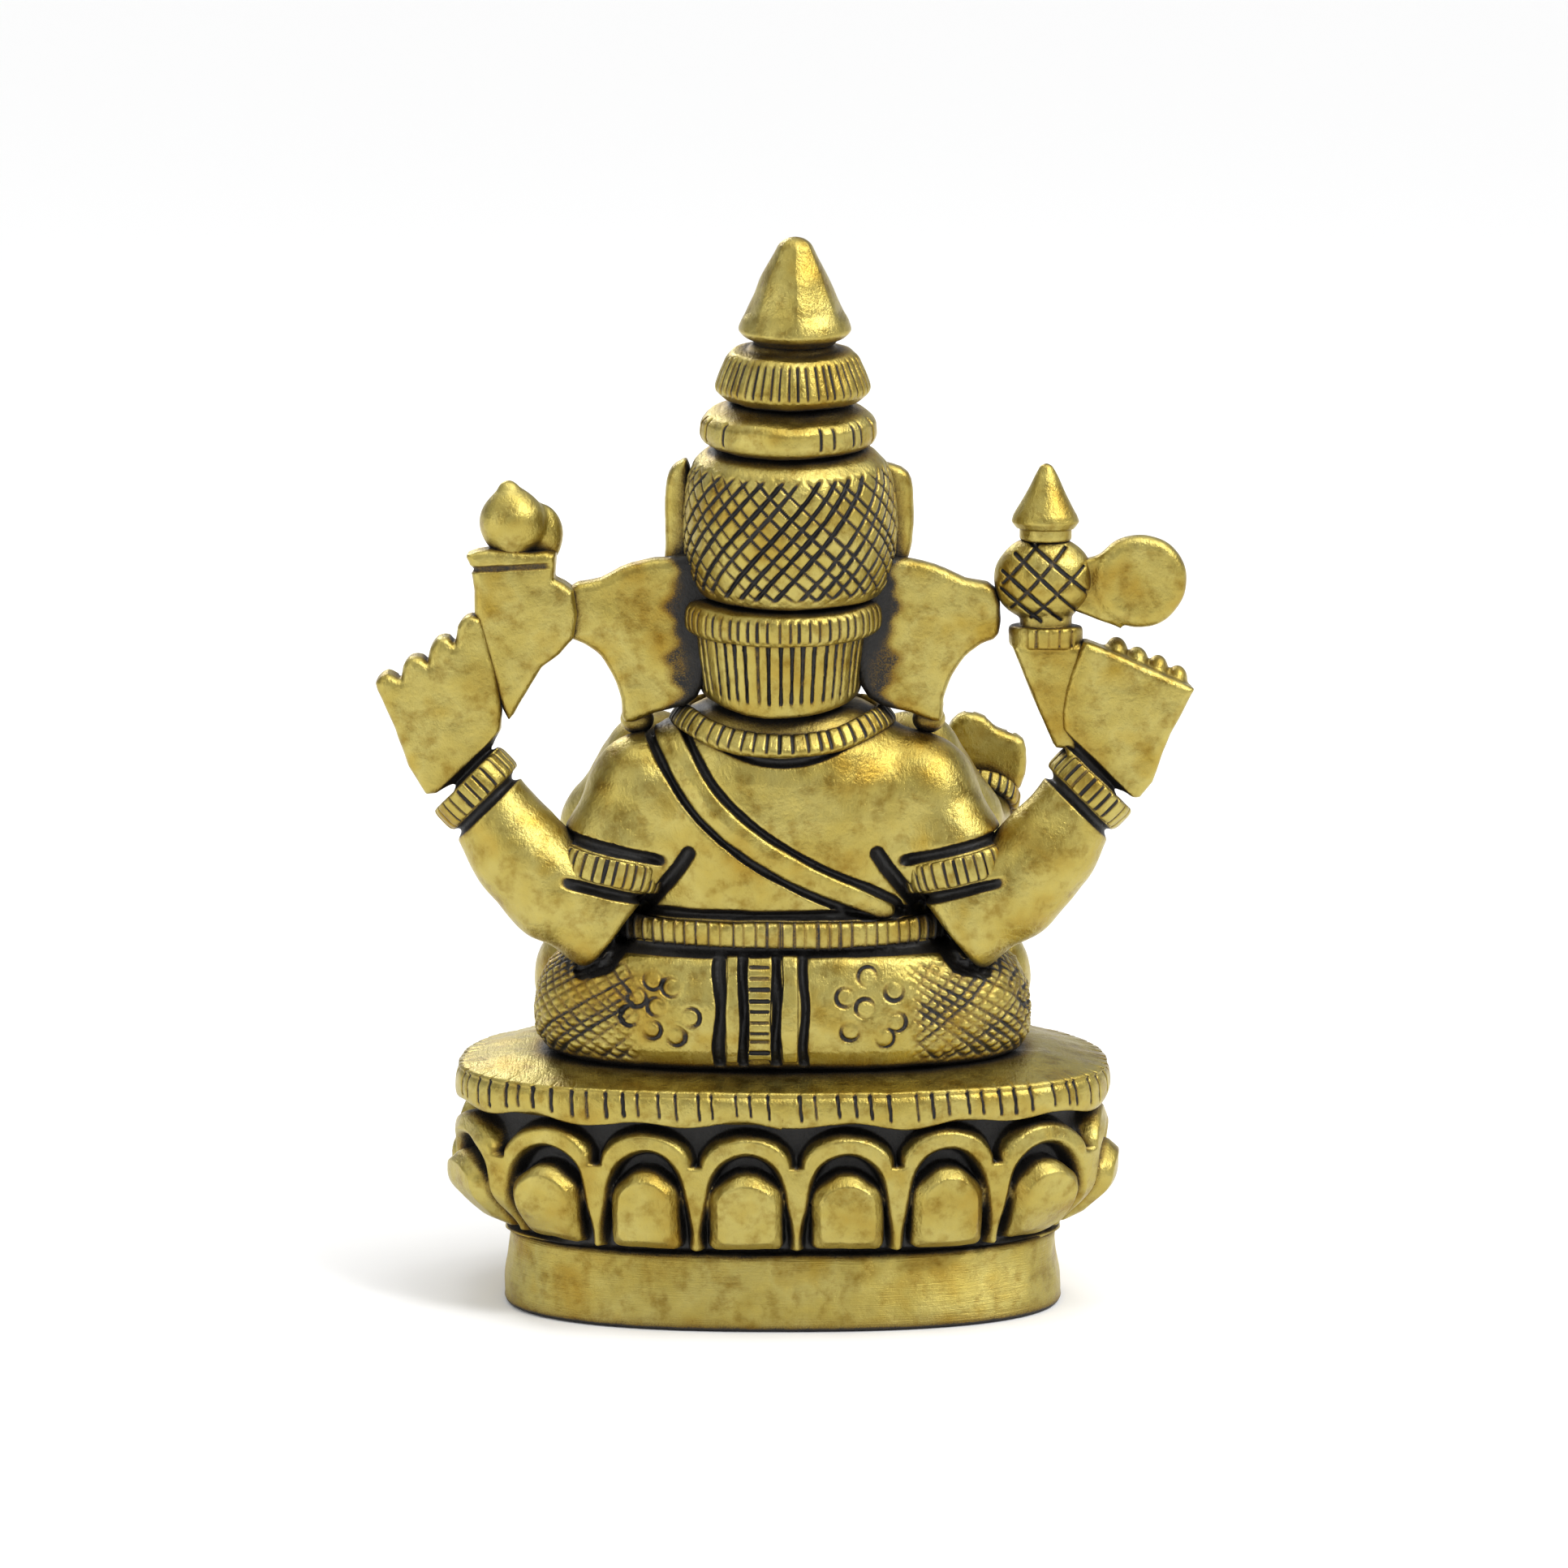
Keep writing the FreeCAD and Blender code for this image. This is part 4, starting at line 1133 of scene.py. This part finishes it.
def held_pieces():
    cup = [
        (25.7, 63.4), (25.5, 62.6), (25.1, 60.4), (25.1, 58.6), (24.6, 56.2), (23.4, 52.4),
        (22.4, 49.6), (21.3, 51.4), (19.6, 54.0), (17.0, 56.4), (17.0, 60.4), (18.5, 61.4),
        (18.4, 63.4), (20.4, 63.6), (23.6, 63.9),
    ]

    def cup_cuts(p):
        lip = groove(np.abs(p[2] - 62.3 + 0.05 * (p[0] - 22)), 0.28, 0.22) * fade(p[0], 18.6, 19.4)
        folds = [((19.6, 61.8), (21.6, 54.6)), ((22.2, 61.8), (22.3, 54.2)), ((24.6, 61.6), (23.0, 54.6))]
        return lip + scored(p[0], p[2], folds, 0.34, 0.4) * fade(p[1], 2.2, 1.8)

    plate("lotus_cup", cup, 4.7, 3.3, cuts=cup_cuts, dish=0.1, smooth=2)

    def bud(p):
        knob = blob(p, (22.0, 2.8, 65.7), (2.75, 2.4, 2.75))
        knob = smin(knob, bone(p, (22.0, 2.8, 66.6), 1.6, (22.3, 2.8, 68.6), 0.7), 1.2)
        petal = blob(p, (19.9, 1.9, 64.6), (1.9, 1.5, 2.6))
        return smin(smin(knob, petal, 0.4), bone(p, (22.0, 2.8, 62.6), 1.5, (22.0, 2.8, 64.0), 1.5), 0.5)

    from_field("lotus_bud", (17.8, 0.0, 60.9), (25.0, 5.4, 69.6), 0.12, bud)

    def staff(p):
        x, y, z = p
        ball = blob(p, (-21.3, 2.6, 61.2), (4.1, 3.2, 3.55))
        r = spun(p, -21.5, 2.7, 0.85)
        collar = smax(r - 3.0, np.abs(z - 56.5) - 0.85, 0.4)
        neck = smax(r - 2.1, np.abs(z - 57.2) - 1.4, 0.2)
        edge = [(-18.7, 55.9), (-24.4, 55.9), (-24.4, 51.0), (-24.0, 47.2), (-22.3, 47.4), (-20.4, 51.6)]
        stem = smax(outline(x, z, edge), np.abs(y - 3.0) - 1.6, 0.7)
        return smin(np.minimum(smin(ball, neck, 0.3), collar), stem, 0.2)

    def staff_cuts(p):
        x, y, z = p
        behind = fade(y, 2.4, 3.4)
        total = 0.0
        for lines, wide, deep in ((RISING, 0.19, 0.28), (FALLING, 0.17, 0.25)):
            for line in lines:
                d, _ = track(x, z, line)
                total = np.maximum(total, groove(d, wide, deep))
        on_collar = fade(y, 4.0, 4.6) * fade(np.abs(z - 56.5), 0.9, 0.6)
        return total * behind + strokes(x, 0.9, 0.16, 0.2) * on_collar

    from_field("axe_staff", (-25.6, -0.8, 47.0), (-17.0, 6.0, 64.9), 0.13, staff, staff_cuts)

    def tip(p):
        z = p[2]
        r = spun(p, -21.4, 2.6, 0.95)
        cone = r - np.interp(z, FINIAL_HEIGHTS, FINIAL_RADII).astype(F32)
        seat_ring = r - 2.1
        return smax(np.where(z > 65.3, cone, seat_ring) * 0.85, np.abs(z - 67.5) - 3.15, 0.25)

    from_field("axe_finial", (-24.4, -0.3, 64.3), (-18.4, 5.5, 70.8), 0.11, tip)

    def blade(p):
        x, y, z = p
        disc = smax(np.hypot(x + 29.1, z - 61.1) - 3.8, np.abs(y - 3.2) - 1.3, 1.1)
        root = outline(x, z, [(-23.6, 62.6), (-27.6, 63.6), (-27.6, 57.2), (-23.6, 58.8)])
        root = smax(root, np.abs(y - 2.9) - 1.0, 0.5)
        return smin(disc, root, 0.5)

    from_field("axe_blade", (-33.1, 0.6, 57.0), (-23.4, 5.2, 65.1), 0.13, blade)


# ---- front arms --------------------------------------------------------------------------------
def limb_piece(name, stations, k=1.6, cuts=None):
    low = [min(c[i] - r for c, r in stations) - 0.8 for i in range(3)]
    high = [max(c[i] + r for c, r in stations) + 0.8 for i in range(3)]

    def shape(p):
        return chain(p, stations, k)

    return from_field(name, low, high, 0.16, shape, cuts)


RIGHT_WRIST = (-16.9, -12.0, 40.6)
LEFT_WRIST = (10.8, -13.6, 32.6)
# On the front of the raised hand, as (x, z) ends of each line.
FINGER_GAPS = [
    ((-19.6, 46.4), (-18.6, 43.6)), ((-17.8, 47.8), (-17.4, 44.0)), ((-15.9, 47.8), (-16.2, 44.0)),
]


def front_arms():
    limb_piece(
        "right_front_arm",
        [
            ((-10.8, -3.4, 45.0), 4.3), ((-14.6, -6.4, 39.4), 3.7), ((-15.8, -8.4, 35.8), 3.6),
            (RIGHT_WRIST, 2.5),
        ],
    )
    limb_piece(
        "left_front_arm",
        [
            ((10.8, -3.4, 45.0), 4.3), ((14.6, -6.2, 39.2), 3.7), ((15.4, -7.8, 35.6), 3.6),
            (LEFT_WRIST, 2.4),
        ],
    )
    ring("right_front_bangle", RIGHT_WRIST, (-1.3, -4.0, 5.0), 2.2, 3.35, 1.6, 0.9)
    ring("left_front_bangle", LEFT_WRIST, (-4.8, -6.2, -2.8), 2.1, 3.35, 1.6, 0.9)

    palm = [
        (-15.0, 40.4), (-18.6, 40.2), (-20.3, 41.4), (-20.7, 43.6), (-20.5, 45.4), (-19.4, 46.0),
        (-18.2, 46.5), (-17.2, 47.4), (-15.6, 47.8), (-14.4, 47.0), (-13.7, 45.2), (-13.4, 43.6),
        (-13.9, 41.6),
    ]

    def palm_cuts(p):
        return scored(p[0], p[2], FINGER_GAPS, 0.3, 0.42) * fade(p[1], -12.3, -12.9)

    plate("right_front_hand", palm, -11.3, 2.6, 0.12, cuts=palm_cuts, dish=0.15, smooth=2)

    def cupped(p):
        hand = blob(p, (8.3, -15.3, 32.3), (3.3, 2.9, 1.5))
        for k in range(4):
            a = math.radians(-150 + 34 * k)
            tip = (8.0 + 3.1 * math.cos(a), -15.7 + 2.6 * math.sin(a), 34.1)
            root = (8.0 + 1.4 * math.cos(a), -15.5 + 1.2 * math.sin(a), 31.9)
            hand = smin(hand, bone(p, root, 0.85, tip, 0.62), 0.35)
        return hand

    low, high = (4.2, -18.9, 30.4), (12.0, -12.0, 35.2)
    from_field("left_front_hand", low, high, 0.12, cupped)


def offering():
    """A shallow bowl heaped with round sweets."""
    centre = (8.0, -15.6)

    def bowl(p):
        r = np.hypot(p[0] - centre[0], p[1] - centre[1])
        wall = np.interp(p[2], [33.4, 34.0, 35.0, 36.2], [1.4, 2.2, 2.85, 2.95]).astype(F32)
        hollow = blob(p, (centre[0], centre[1], 36.7), (2.5, 2.5, 1.7))
        return smax(smax(r - wall, np.abs(p[2] - 34.8) - 1.4, 0.2), -hollow, 0.2)

    def bowl_cuts(p):
        turn = np.arctan2(p[1] - centre[1], p[0] - centre[0])
        return strokes(turn * 3.0, 0.94, 0.16, 0.2) * fade(p[2], 34.9, 35.2) * fade(p[2], 36.0, 35.8)

    from_field("sweet_bowl", (4.8, -18.8, 33.3), (11.2, -12.4, 36.3), 0.1, bowl, bowl_cuts)

    def heap(p):
        total = None
        for x, y, z in ((-1.15, -0.7, 36.3), (1.15, -0.7, 36.3), (0.0, 1.2, 36.3), (0.0, -0.05, 37.3)):
            x, y = centre[0] + x, centre[1] + y
            drop = blob(p, (x, y, z), (1.15, 1.15, 1.0))
            drop = smin(drop, bone(p, (x, y, z + 0.6), 0.45, (x, y, z + 1.05), 0.15), 0.4)
            total = drop if total is None else smin(total, drop, 0.12)
        return total

    from_field("sweets", (5.4, -17.8, 35.0), (10.6, -13.0, 38.9), 0.09, heap)


GARLAND_SIDE = [(3.2, 43.0), (6.0, 45.6), (7.6, 49.4)]
GARLAND = curve([(-x, z) for x, z in GARLAND_SIDE[::-1]] + [(0.0, 42.0)] + GARLAND_SIDE)


def pendant():
    """The garland on the chest with its drop."""

    def shape(p):
        skin = torso_skin(p)
        d, _ = track(p[0], p[2], GARLAND)
        strand = np.hypot(d, skin) - 0.62
        drop = np.hypot(np.hypot(p[0] / 1.25, (p[2] - 40.9) / 1.5), skin * 1.3) - 1.0
        return np.maximum(smin(strand, drop, 0.3), p[1] + 3.0)

    def cuts(p):
        _, run = track(p[0], p[2], GARLAND)
        return strokes(run, 0.95, 0.22, 0.3, 0.05)

    from_field("pendant", (-8.6, -12.6, 39.0), (8.6, -2.6, 50.4), 0.12, shape, cuts)


def ear_rings():
    for side, name in ((-1, "right_ear_ring"), (1, "left_ear_ring")):

        def shape(p, side=side):
            ball = blob(p, (side * 12.0, 1.0, 49.3), (1.4, 1.4, 1.2))
            stud = smax(np.hypot(p[0] - side * 12.0, p[2] - 50.6) - 1.2, np.abs(p[1] - 1.0) - 1.0, 0.5)
            return smin(ball, stud, 0.25)

        xs = sorted((side * 10.2, side * 13.8))
        from_field(name, (xs[0], -0.8, 47.8), (xs[1], 2.8, 52.0), 0.1, shape)


# ---- legs --------------------------------------------------------------------------------------
def legs():
    def cloth(side, ankle):
        def cuts(p):
            d = axial(p, ankle, (side * 12.4, 7.0, 1.6))
            fold = strokes(d, 2.1, 0.3, 0.28, 0.3) * fade(p[1], -7.5, -9.5) * fade(p[2], 22.6, 23.6)
            return fold * fade(d, 1.4, 3.0)

        return cuts

    right_ankle = (-4.6, -13.6, 24.6)
    left_ankle = (5.6, -11.8, 24.8)
    limb_piece(
        "right_leg",
        [
            ((-9.0, -4.2, 26.8), 5.0), ((-15.9, -6.6, 26.2), 4.6), ((-10.6, -10.9, 25.3), 3.9),
            (right_ankle, 2.8),
        ],
        2.2,
        cuts=cloth(-1, right_ankle),
    )
    limb_piece(
        "left_leg",
        [
            ((9.0, -4.2, 26.8), 5.0), ((15.9, -6.6, 26.2), 4.6), ((10.8, -9.9, 25.4), 3.9),
            (left_ankle, 2.8),
        ],
        2.2,
        cuts=cloth(1, left_ankle),
    )
    ring("right_anklet", (-6.2, -12.9, 24.9), (-12.4, 6.0, 1.6), 2.5, 3.6, 1.6, 0.9)
    ring("left_anklet", (7.2, -11.2, 25.0), (12.4, 6.0, 1.6), 2.5, 3.6, 1.6, 0.9)

    def sole(side, heel, toe, height):
        def shape(p):
            total = bone(p, (heel[0], heel[1], height), 2.0, (toe[0], toe[1], height - 0.2), 1.65)
            ex, ey = toe[0] - heel[0], toe[1] - heel[1]
            size = math.hypot(ex, ey)
            ex, ey = ex / size, ey / size
            for k in range(5):
                across = (k - 2) * 0.62
                reach = 1.7 - 0.16 * abs(k - 1) * 1.2
                aside = across * 0.5
                tip = (
                    toe[0] + ex * reach - ey * aside,
                    toe[1] + ey * reach + ex * aside,
                    height - 0.3 + across,
                )
                root = (toe[0], toe[1], height - 0.2 + across * 0.9)
                total = smin(total, bone(p, root, 0.5, tip, 0.42), 0.22)
            return total

        name = sided(side, "foot")
        low = (min(heel[0], toe[0]) - 3.4, min(heel[1], toe[1]) - 3.0, height - 2.6)
        high = (max(heel[0], toe[0]) + 3.4, max(heel[1], toe[1]) + 3.0, height + 2.6)
        from_field(name, low, high, 0.13, shape)

    sole(-1, (-2.4, -14.2), (2.4, -15.0), 23.7)
    sole(1, (3.6, -11.4), (-1.0, -11.0), 23.6)

    def fan(p):
        x, y, z = p
        hem = [(3.9, 21.2), (2.2, 20.1), (0.1, 19.8), (-2.0, 20.1), (-3.7, 21.2)]
        spread = outline(x, z, [(-2.2, 24.3), (2.4, 24.3), *hem])
        return smax(spread, np.abs(y + 17.3) - 0.9, 0.4)

    def fan_cuts(p):
        turn = np.arctan2(p[0] - 0.1, 27.5 - p[2])
        return strokes(turn * 8.0, 0.95, 0.2, 0.3, 0.05)

    from_field("front_fold", (-3.9, -18.4, 19.7), (4.1, -16.2, 24.6), 0.11, fan, fan_cuts)


# ---- build -------------------------------------------------------------------------------------
foot()
lotus_band()
seat()
hips()
pleat()
belt()
torso()
sash()
necklace()
nape()
for which in (-1, 1):
    rear_forearm(which)
    armlet, arm_axis = mirror_x(ARMLET, which), mirror_x(ARM_AXIS, which)
    ring(sided(which, "armlet"), armlet, arm_axis, 4.0, 4.95, 2.3, 0.92, deep=0.95)
    wrist, wrist_axis = mirror_x(WRIST, which), mirror_x(FOREARM_AXIS, which)
    ring(sided(which, "rear_bangle"), wrist, wrist_axis, 2.9, 3.85, 2.2, 0.95)
    ear(which)
rear_hands()
head()
trunk()
tusks()
crown()
held_pieces()
front_arms()
offering()
pendant()
ear_rings()
legs()
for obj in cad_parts.values():
    obj.data.materials.clear()
    obj.data.materials.append(MATERIAL["brass"])


# ---- floor, light and camera -------------------------------------------------------------------
def floor():
    mesh = bpy.data.meshes.new("floor")
    half = 12.0
    corners = [(-half, -half, 0), (half, -half, 0), (half, half, 0), (-half, half, 0)]
    mesh.from_pydata(corners, [], [(0, 1, 2, 3)])
    mat = bpy.data.materials.new("pale_floor")
    mat.use_nodes = True
    shader = mat.node_tree.nodes["Principled BSDF"]
    shader.inputs["Base Color"].default_value = (0.93, 0.93, 0.93, 1.0)
    shader.inputs["Roughness"].default_value = 0.9
    shader.inputs["Specular IOR Level"].default_value = 0.1
    mesh.materials.append(mat)
    obj = bpy.data.objects.new("floor", mesh)
    bpy.context.scene.collection.objects.link(obj)


def softbox(name, place, size, power):
    """A rectangular lamp in metres, aimed at the middle of the figure."""
    light = bpy.data.lights.new(name, "AREA")
    light.shape = "RECTANGLE"
    light.size, light.size_y = size
    light.energy = power
    obj = bpy.data.objects.new(name, light)
    obj.location = place
    obj.rotation_euler = (Vector((0.0, 0.0, 0.045)) - Vector(place)).to_track_quat("-Z", "Y").to_euler()
    bpy.context.scene.collection.objects.link(obj)


floor()
softbox("key", (-0.45, 0.40, 0.60), (0.16, 0.16), 2.2)
softbox("fill", (0.60, 0.45, 0.25), (0.10, 0.50), 0.8)
softbox("top", (0.05, 0.05, 0.85), (0.30, 0.20), 0.9)
softbox("front", (0.3, -0.8, 0.5), (0.25, 0.25), 1.8)


def sky_panel():
    """One broad even lamp; it whitens the floor and leaves a soft shadow on the figure's left."""
    light = bpy.data.lights.new("sky_panel", "SUN")
    light.energy = 1.25
    light.angle = math.radians(50)
    obj = bpy.data.objects.new("sky_panel", light)
    obj.rotation_euler = Vector((0.62, -0.18, -0.9)).to_track_quat("-Z", "Y").to_euler()
    bpy.context.scene.collection.objects.link(obj)


sky_panel()


def studio():
    """A pale room: a white backdrop all round, a dim zone over it, bright overhead."""
    world = bpy.data.worlds.new("studio")
    world.use_nodes = True
    tree = world.node_tree
    coords = tree.nodes.new("ShaderNodeTexCoord")
    split = tree.nodes.new("ShaderNodeSeparateXYZ")
    tree.links.new(coords.outputs["Generated"], split.inputs[0])
    level = tree.nodes.new("ShaderNodeValToRGB")
    stops = level.color_ramp.elements
    for _ in range(2):
        stops.new(0.5)
    for stop, (height, light) in zip(stops, ((0.0, 1.0), (0.17, 1.0), (0.24, 0.10), (0.75, 0.93))):
        stop.position = height
        stop.color = (light, light, light, 1.0)
    tree.links.new(split.outputs["Z"], level.inputs[0])
    shade = tree.nodes["Background"]
    tree.links.new(level.outputs[0], shade.inputs["Color"])
    shade.inputs["Strength"].default_value = 1.0
    bpy.context.scene.world = world


studio()
bpy.context.scene.view_settings.view_transform = "Standard"

ELEVATION = math.radians(10.0)
DISTANCE = 400.0
TARGET = Vector((-0.1, 0.0, 43.7))
camera = bpy.data.cameras.new("camera")
camera.lens = 111.0
camera.sensor_width = 36.0
camera.clip_start = 0.01
camera.clip_end = 50.0
eye = bpy.data.objects.new("camera", camera)
eye.location = (TARGET + Vector((0.0, math.cos(ELEVATION), math.sin(ELEVATION))) * DISTANCE) * MM
eye.rotation_euler = (TARGET * MM - eye.location).to_track_quat("-Z", "Y").to_euler()
bpy.context.scene.collection.objects.link(eye)
bpy.context.scene.camera = eye
